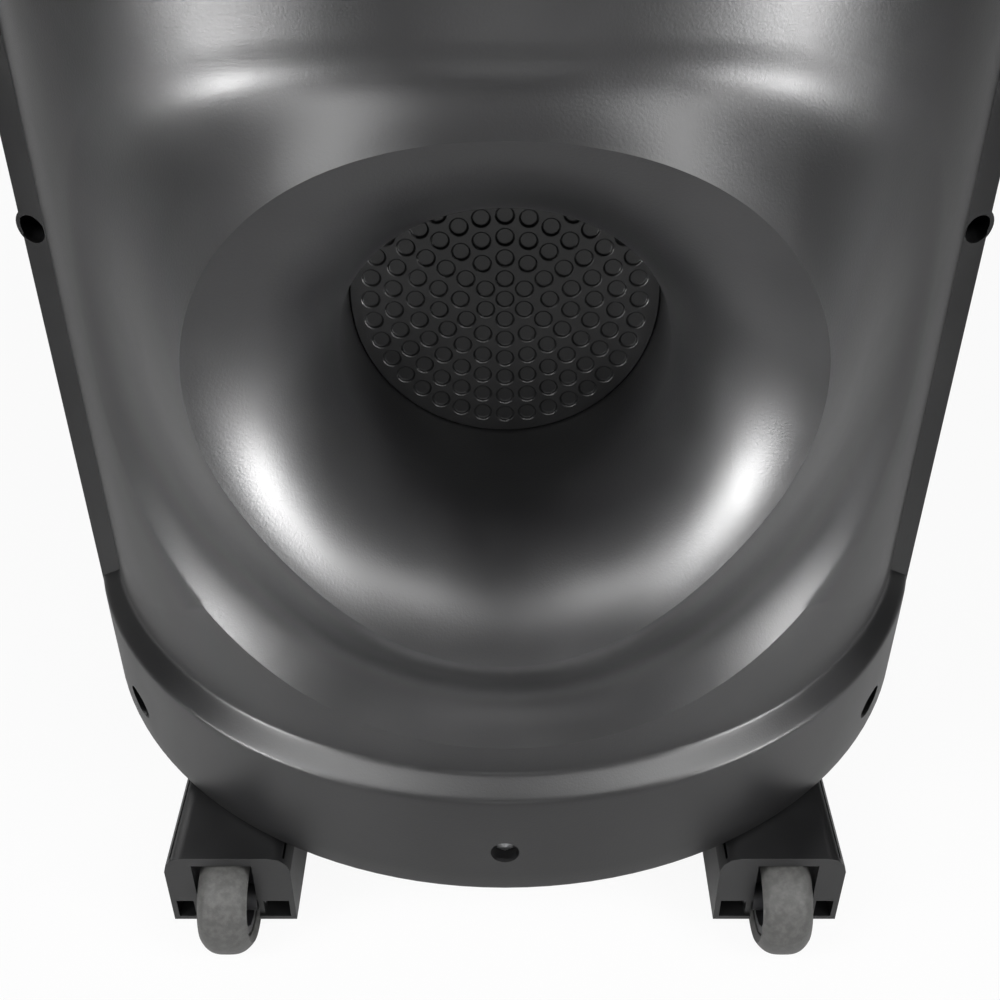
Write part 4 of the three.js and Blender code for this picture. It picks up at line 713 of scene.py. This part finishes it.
@dataclass(frozen=True)
class ScrewPattern:
    """Where the screws stand: one in the middle of the skirt and three on each side."""

    base_z: float = 83.7 * MM
    base_recess: float = 6 * MM
    base_sleeve: float = 19.5 * MM
    side_x: float = 192.5 * MM
    lower_x: float = 173 * MM
    lower_z: float = 78 * MM
    side_z: float = 297 * MM
    upper_z: float = 560 * MM
    side_floor_y: float = 43 * MM
    seam_gap: float = 0.2 * MM

    def places(self, shell: RearMoulding) -> list[ScrewPlace]:
        """Every recess, the base screw's first."""
        base_floor = shell.centre_y - shell.skirt_radius + self.base_recess
        side_end = shell.seam_y - self.seam_gap
        places = [ScrewPlace("base_screw", 0.0, self.base_z, base_floor, base_floor + self.base_sleeve)]
        spots = (("lower", self.lower_x, self.lower_z), ("side", self.side_x, self.side_z),
                 ("upper", self.side_x, self.upper_z))
        for end, side in (("left", -1), ("right", 1)):
            places += [ScrewPlace(f"{name}_screw_{end}", side * x, z, self.side_floor_y, side_end)
                       for name, x, z in spots]
        return places


@dataclass(frozen=True)
class Block:
    """A box, even about the middle plane, that is cut out of the shell."""

    name: str
    half_width: float
    rear_y: float
    front_y: float
    low: float
    high: float

    def build(self) -> bpy.types.Object:
        """Builds the box from two rings of corners, closed at both ends."""
        shape = Shape()
        ring = np.array([[-self.half_width, self.rear_y], [self.half_width, self.rear_y],
                         [self.half_width, self.front_y], [-self.half_width, self.front_y]])
        rows = [np.concatenate([ring, np.full((4, 1), level)], -1) for level in (self.low, self.high)]
        numbers = shape.grid(np.stack(rows), wrap=True)
        shape.face(numbers[0])
        shape.face(numbers[-1])
        return shape.build(self.name)


TRAY_OPENING = Block("tray_cutter", 144.3 * MM, -79.8 * MM, -8.2 * MM, 680 * MM, 700 * MM)


@dataclass(frozen=True)
class PanelBowl:
    """The bowl behind the control panel: walls from the shell to a ledge that carries the panel."""

    half_width: float = 94.3 * MM
    low: float = 465.7 * MM
    high: float = 610.3 * MM
    ledge: float = 9 * MM
    ledge_y: float = -143 * MM
    opening_y: float = -130 * MM
    wall: float = 3.5 * MM
    tuck: float = 2 * MM

    def cutters(self) -> list[bpy.types.Object]:
        """The opening down to the ledge, and the smaller one inside the ledge."""
        inside = self.half_width - self.ledge
        bowl = Block("bowl_cutter", self.half_width, OUTSIDE_Y, self.ledge_y, self.low, self.high)
        seat = Block("seat_cutter", inside, OUTSIDE_Y, self.opening_y, self.low + self.ledge,
                     self.high - self.ledge)
        return [bowl.build(), seat.build()]

    def loop(self, shell: RearMoulding, grow: float, y: float | None) -> np.ndarray:
        """The rectangle grown by a margin, at a depth or just inside the shell's wall."""
        x = np.linspace(-self.half_width - grow, self.half_width + grow, 25)
        z = np.linspace(self.low - grow, self.high + grow, 13)
        corners = np.concatenate([np.stack([x[:-1], 0 * x[:-1] + z[0]], -1),
                                  np.stack([0 * z[:-1] + x[-1], z[:-1]], -1),
                                  np.stack([x[:0:-1], 0 * x[:0:-1] + z[-1]], -1),
                                  np.stack([0 * z[:0:-1] + x[0], z[:0:-1]], -1)])
        across, level = corners[:, 0], corners[:, 1]
        along = shell.wall_y(across, 0) + self.tuck if y is None else 0 * across + y
        return np.stack([across, along, level], -1)

    def build(self, shell: RearMoulding) -> bpy.types.Object:
        """Builds the bowl as a closed skin: down its wall, round its ledge and back up outside."""
        under = self.ledge_y + self.wall
        course = ((0, None), (0, self.ledge_y), (-self.ledge, self.ledge_y), (-self.ledge, under),
                  (self.wall, under), (self.wall, None), (0, None))
        shape = Shape()
        shape.grid(np.stack([self.loop(shell, grow, y) for grow, y in course]), wrap=True)
        return shape.build("panel_cup")


@dataclass
class DimpledDisc:
    """The disc at the bottom of the dish: rings of round recesses round a middle one."""

    radius: float = 60.7 * MM
    face_y: float = -71.5 * MM
    thickness: float = 4 * MM
    centre_z: float = 283 * MM
    pitch: float = 8.75 * MM
    dimple: float = 3.4 * MM
    depth: float = 1.2 * MM
    edge: float = 0.5 * MM
    soft: float = 0.5 * MM
    soft_side: float = 0.15 * MM
    lip_width: float = 0.1 * MM
    lip_depth: float = 0.25 * MM
    skim: float = 0.02 * MM
    rings: int = 6
    rim_steps: int = 120
    cup_steps: int = 24

    def build(self) -> bpy.types.Object:
        """Builds the plate and cuts a shallow cup with a rounded floor at each place."""
        edge, soft = self.edge, self.soft
        back = self.face_y + self.thickness
        profile = np.array([[0, self.face_y], [self.radius - edge, self.face_y],
                            [self.radius, self.face_y + edge], [self.radius, back], [0, back]])
        centre = (0, 0, self.centre_z)
        disc = turned(profile, Axis.Y, centre, self.rim_steps).build("dimpled_disc")
        cups = Shape()
        floor, above = self.face_y + self.depth, self.face_y - self.depth
        cup = np.array([[0, above], [self.dimple + soft, above],
                        [self.dimple + soft, self.face_y - self.skim],
                        [self.dimple + self.lip_width, self.face_y + self.lip_depth],
                        [self.dimple, floor - soft], [self.dimple - self.soft_side, floor - soft / 3],
                        [self.dimple - soft, floor], [0, floor]])
        for ring in range(self.rings + 1):
            for turn in np.linspace(0, 2 * math.pi, max(1, 6 * ring), endpoint=False):
                away = ring * self.pitch
                place = (away * math.sin(turn), 0, self.centre_z + away * math.cos(turn))
                turned(cup, Axis.Y, place, self.cup_steps, cups)
        cut(disc, [cups.build("dimple_cutter")], FINE_CREASE)
        return disc


@dataclass
class Wheel:
    """A rear wheel: a grey tyre with a mould line round its tread."""

    side: int
    centre_x: float = 124.5 * MM
    centre_y: float = -156 * MM
    radius: float = 25 * MM
    inside: float = 17 * MM
    half_width: float = 11 * MM
    shoulder_drop: float = 5 * MM
    shoulder_power: float = 3.2
    line_height: float = 0.12 * MM
    line_width: float = 0.35 * MM
    flank_share: float = 0.85
    crease: float = 30.0
    steps: int = 96

    @property
    def end(self) -> str:
        """The name of the wheel's side."""
        return "left" if self.side < 0 else "right"

    def tyre(self) -> bpy.types.Object:
        """Builds the tyre: a rounded tread with a fine raised line in its middle."""
        across = np.linspace(-1, 1, 41)
        crown = self.radius - self.shoulder_drop * np.abs(across) ** self.shoulder_power
        line = self.line_height * np.exp(-(across * self.half_width / self.line_width) ** 2)
        tread = np.stack([np.minimum(crown + line, self.radius), across * self.half_width], -1)
        edge = self.half_width * self.flank_share
        flank = np.array([[self.inside, edge], [self.inside, -edge]])
        profile = np.concatenate([tread, flank, tread[:1]])
        centre = (self.side * self.centre_x, self.centre_y, self.radius)
        return turned(profile, Axis.X, centre, self.steps).build(f"tyre_{self.end}", self.crease)


@dataclass
class CadCopy:
    """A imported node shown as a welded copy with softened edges."""

    node: str
    bevel: float = 0.6 * MM
    sharp: float = 32.0
    weld: float = 1e-5
    flat_within: float = 1.0

    def build(self, nodes: dict[str, bpy.types.Object]) -> bpy.types.Object:
        """Copies the node's mesh, welds it, merges its flat faces and rounds its edges.

        Args:
            nodes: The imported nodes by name.

        Returns:
            The copy as a finished object.
        """
        mesh = nodes[self.node].data.copy()
        piece = finished(f"{self.node}_shown", mesh, self.sharp, self.weld, turn=False)
        edit = bmesh.new()
        edit.from_mesh(piece.data)
        bmesh.ops.dissolve_limit(edit, angle_limit=math.radians(self.flat_within),
                                 verts=edit.verts, edges=edit.edges)
        edit.to_mesh(piece.data)
        edit.free()
        if self.bevel:
            modifier = piece.modifiers.new("soft_edges", "BEVEL")
            modifier.width = self.bevel
            modifier.segments = 2
            modifier.limit_method = "ANGLE"
            modifier.angle_limit = math.radians(self.sharp)
            modifier.use_clamp_overlap = True
            weighted = piece.modifiers.new("flat_faces", "WEIGHTED_NORMAL")
            weighted.keep_sharp = True
            graph = bpy.context.evaluated_depsgraph_get()
            mesh = bpy.data.meshes.new_from_object(piece.evaluated_get(graph), depsgraph=graph)
            piece.modifiers.clear()
            piece.data = mesh
        return piece


@dataclass(frozen=True)
class Softbox:
    """A rectangular lamp that faces a target, its beam narrowed to some degrees."""

    name: str
    place: tuple[float, float, float]
    target: tuple[float, float, float]
    size: tuple[float, float]
    power: float
    spread: float = 180.0

    def mirrored(self, side: int, end: str) -> Softbox:
        """The same lamp on one side of the middle plane."""
        place, target = ((side * v[0], *v[1:]) for v in (self.place, self.target))
        return replace(self, name=f"{self.name}_{end}", place=place, target=target)

    def build(self) -> None:
        """Adds the lamp to the scene."""
        data = bpy.data.lights.new(self.name, "AREA")
        data.shape = "RECTANGLE"
        data.size, data.size_y = self.size
        data.energy = self.power
        data.spread = math.radians(self.spread)
        lamp = bpy.data.objects.new(self.name, data)
        lamp.location = self.place
        toward = np.array(self.target) - np.array(self.place)
        yaw = math.atan2(toward[1], toward[0])
        tilt = math.atan2(math.hypot(toward[0], toward[1]), -toward[2])
        lamp.rotation_euler = (tilt, 0, yaw - math.pi / 2)
        bpy.context.scene.collection.objects.link(lamp)


MIDDLE = (0.0, -0.1, 0.3)
PAIRED_LAMPS = (
    Softbox("dish", (0.5, -0.46, 0.22), (-0.08, -0.14, 0.285), (0.28, 0.28), 0.62, 30.0),
    Softbox("flank", (0.45, -0.6, 0.75), (0.1, -0.17, 0.44), (0.3, 0.3), 0.85, 90.0),
    Softbox("ledge", (0.6, -0.5, 0.45), (0.09, -0.16, 0.12), (0.3, 0.3), 0.3, 55.0),
    Softbox("key", (0.3, -1.1, 1.2), MIDDLE, (0.4, 0.4), 2.6),
)
SINGLE_LAMPS = (
    Softbox("skirt", (0.0, -1.0, 0.2), (0.0, -0.17, 0.07), (0.4, 0.3), 0.8),
    Softbox("front_fill", (0.6, 2.2, 1.4), MIDDLE, (1.5, 1.5), 20),
    Softbox("front_key", (-1.2, 1.7, 0.9), MIDDLE, (0.8, 0.8), 12),
)


@dataclass
class Studio:
    """The camera, the pale floor, the soft lamps and the white backdrop."""

    camera_place: tuple[float, float, float] = (0.0, -0.530, 0.517)
    pitch_down: float = 35.8
    focal_px: float = 1300.0
    frame_px: float = 1000.0
    centre_px: float = 505.0
    sensor_mm: float = 36.0
    nearest: float = 0.01
    floor_reach: float = 6.0
    floor_seen_white: float = 0.93
    floor_gloss_white: float = 0.1
    fill_light: float = 0.04

    def camera(self) -> None:
        """Sets the camera at the photograph's place, angle and field of view."""
        data = bpy.data.cameras.new("camera")
        data.sensor_width = self.sensor_mm
        data.lens = self.sensor_mm * self.focal_px / self.frame_px
        data.shift_x = (self.frame_px / 2 - self.centre_px) / self.frame_px
        data.clip_start = self.nearest
        camera = bpy.data.objects.new("camera", data)
        camera.location = self.camera_place
        camera.rotation_euler = (math.radians(90 - self.pitch_down), 0, 0)
        bpy.context.scene.collection.objects.link(camera)
        bpy.context.scene.camera = camera

    def floor(self) -> None:
        """Adds the floor: white to the camera and to gloss, with the object's soft shadow."""
        shape = Shape()
        reach = self.floor_reach
        corners = np.array([[[-reach, -reach, 0], [reach, -reach, 0]],
                            [[-reach, reach, 0], [reach, reach, 0]]])
        shape.grid(corners)
        floor = shape.build("floor")
        graph = Graph("floor_white")
        seen = graph.add("ShaderNodeLightPath", output="Is Camera Ray")
        glossy = graph.add("ShaderNodeLightPath", output="Is Glossy Ray")
        matt = graph.add("ShaderNodeBsdfDiffuse", {}, {"Color": (0.8, 0.8, 0.8, 1)})
        white = graph.add("ShaderNodeEmission", {}, {"Color": (1, 1, 1, 1), "Strength": 1.0})
        share = seen * self.floor_seen_white + glossy * self.floor_gloss_white
        shader = graph.add("ShaderNodeMixShader", {}, {0: share, 1: matt, 2: white})
        floor.data.materials.append(graph.end(shader))

    def backdrop(self) -> None:
        """Sets the world: white where the camera sees it, and a faint even fill elsewhere."""
        world = bpy.data.worlds.new("world")
        bpy.context.scene.world = world
        world.use_nodes = True
        tree = world.node_tree
        fill = tree.nodes["Background"]
        fill.inputs["Color"].default_value = (1, 1, 1, 1)
        fill.inputs["Strength"].default_value = self.fill_light
        white = tree.nodes.new("ShaderNodeBackground")
        white.inputs["Color"].default_value = (1, 1, 1, 1)
        seen = tree.nodes.new("ShaderNodeLightPath")
        mixed = tree.nodes.new("ShaderNodeMixShader")
        tree.links.new(seen.outputs["Is Camera Ray"], mixed.inputs[0])
        tree.links.new(fill.outputs[0], mixed.inputs[1])
        tree.links.new(white.outputs[0], mixed.inputs[2])
        tree.links.new(mixed.outputs[0], tree.nodes["World Output"].inputs["Surface"])

    def build(self) -> None:
        """Sets up the camera, the floor, the lamps and the backdrop."""
        self.camera()
        self.floor()
        for side, end in ((-1, "left"), (1, "right")):
            for lamp in PAIRED_LAMPS:
                lamp.mirrored(side, end).build()
        for lamp in SINGLE_LAMPS:
            lamp.build()
        self.backdrop()
        bpy.context.scene.view_settings.view_transform = "Standard"


PLAIN_EDGE = 0.3 * MM
EDGE_ROUNDING = {
    "front_shell": 2.0 * MM,
    "carry_handle": 3.0 * MM,
    "handle_tray": 0.8 * MM,
    "handle_grip": 0.0,
    "front_grille": 0.0,
    "wheel_housing_left": 1.6 * MM,
    "wheel_housing_right": 1.6 * MM,
    "front_foot_left": 2.0 * MM,
    "front_foot_right": 2.0 * MM,
}


class Speaker:
    """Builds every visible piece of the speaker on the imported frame."""

    def __init__(self, frame: dict[str, object]) -> None:
        """Keeps the frame and makes each finish once."""
        self.nodes: dict[str, bpy.types.Object] = frame["nodes"]
        self.record: dict[str, object] = frame["record"]
        self.body_of = {node: body for body, members in self.record["behaviour"]["bodies"].items()
                        for node in members}
        self.finishes = {
            "shell_plastic": MouldedPlastic("shell_grain").material(),
            "trim_plastic": MouldedPlastic("trim_satin", (0.022, 0.022, 0.024), (0.035, 0.035, 0.036), 0.36,
                                           0.5 * MM, 0.015 * MM).material(),
            "steel": Metal("plated_steel").material(),
            "painted_steel": Metal("black_paint", (0.012, 0.012, 0.013), (0.02, 0.02, 0.02),
                                   0.0, 0.4).material(),
            "rubber": Rubber("black_rubber").material(),
            "wheel_rubber": Rubber("grey_tread", (0.062, 0.061, 0.059), (0.1, 0.099, 0.096), 0.5,
                                   3 * MM).material(),
            "cone_plastic": MouldedPlastic("cone_black", (0.02, 0.02, 0.022), (0.03, 0.03, 0.03), 0.5,
                                           0.6 * MM, 0.03 * MM).material(),
            "battery_plastic": MouldedPlastic("battery_case", (0.03, 0.032, 0.04), (0.05, 0.05, 0.06), 0.45,
                                              0.8 * MM, 0.02 * MM).material(),
            "board_plastic": MouldedPlastic("board_green", (0.01, 0.05, 0.02), (0.02, 0.08, 0.03), 0.35,
                                            1.0 * MM, 0.01 * MM).material(),
            "aluminium": Metal("aluminium", (0.6, 0.61, 0.62), (0.5, 0.5, 0.51)).material(),
            "dark_glass": Glass("dark_window").material(),
        }
        self.slot_of = {part["node"]: part["material_slot"] for part in self.record["subparts"]}
        self.shown: set[str] = set()

    def place(self, piece: bpy.types.Object, slot: str, body: str = CABINET,
              replaced: tuple[str, ...] = ()) -> None:
        """Dresses a new piece and notes the nodes that it stands for."""
        dress(piece, self.finishes[slot], slot, body, replaced)
        self.shown.update(replaced)

    def rear(self) -> None:
        """The rear moulding, the dimpled disc and the screw recesses."""
        moulding, bowl = RearMoulding(), PanelBowl()
        shell = moulding.build()
        places = ScrewPattern().places(moulding)
        cutters = [place.cutter() for place in places]
        cut(shell, [*cutters, *bowl.cutters(), TRAY_OPENING.build()], FINE_CREASE)
        self.place(shell, "shell_plastic", replaced=("rear_shell", "dish_moulding"))
        self.place(bowl.build(moulding), "shell_plastic")
        for place in places:
            self.place(place.sleeve(moulding), "shell_plastic")
        self.place(DimpledDisc().build(), "shell_plastic", replaced=("dish_disc",))

    def wheels(self) -> None:
        """The two tyres."""
        for side in (-1, 1):
            wheel = Wheel(side)
            self.place(wheel.tyre(), "wheel_rubber", f"wheel_{wheel.end}", (f"wheel_tyre_{wheel.end}",))

    def rest(self) -> None:
        """Every other node, as a copy with softened edges and its own finish."""
        grille = Perforated("pierced_steel")
        for node in sorted(set(self.nodes) - self.shown):
            piece = CadCopy(node, EDGE_ROUNDING.get(node, PLAIN_EDGE)).build(self.nodes)
            slot = self.slot_of[node]
            material = grille.material() if node == "front_grille" else self.finishes[slot]
            dress(piece, material, slot, self.body_of[node], (node,))


def main() -> None:
    """Builds the scene."""
    logging.basicConfig(level=logging.INFO, format="%(message)s")
    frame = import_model()
    Studio().build()
    speaker = Speaker(frame)
    speaker.rear()
    speaker.wheels()
    speaker.rest()


if __name__ == "__main__":
    main()
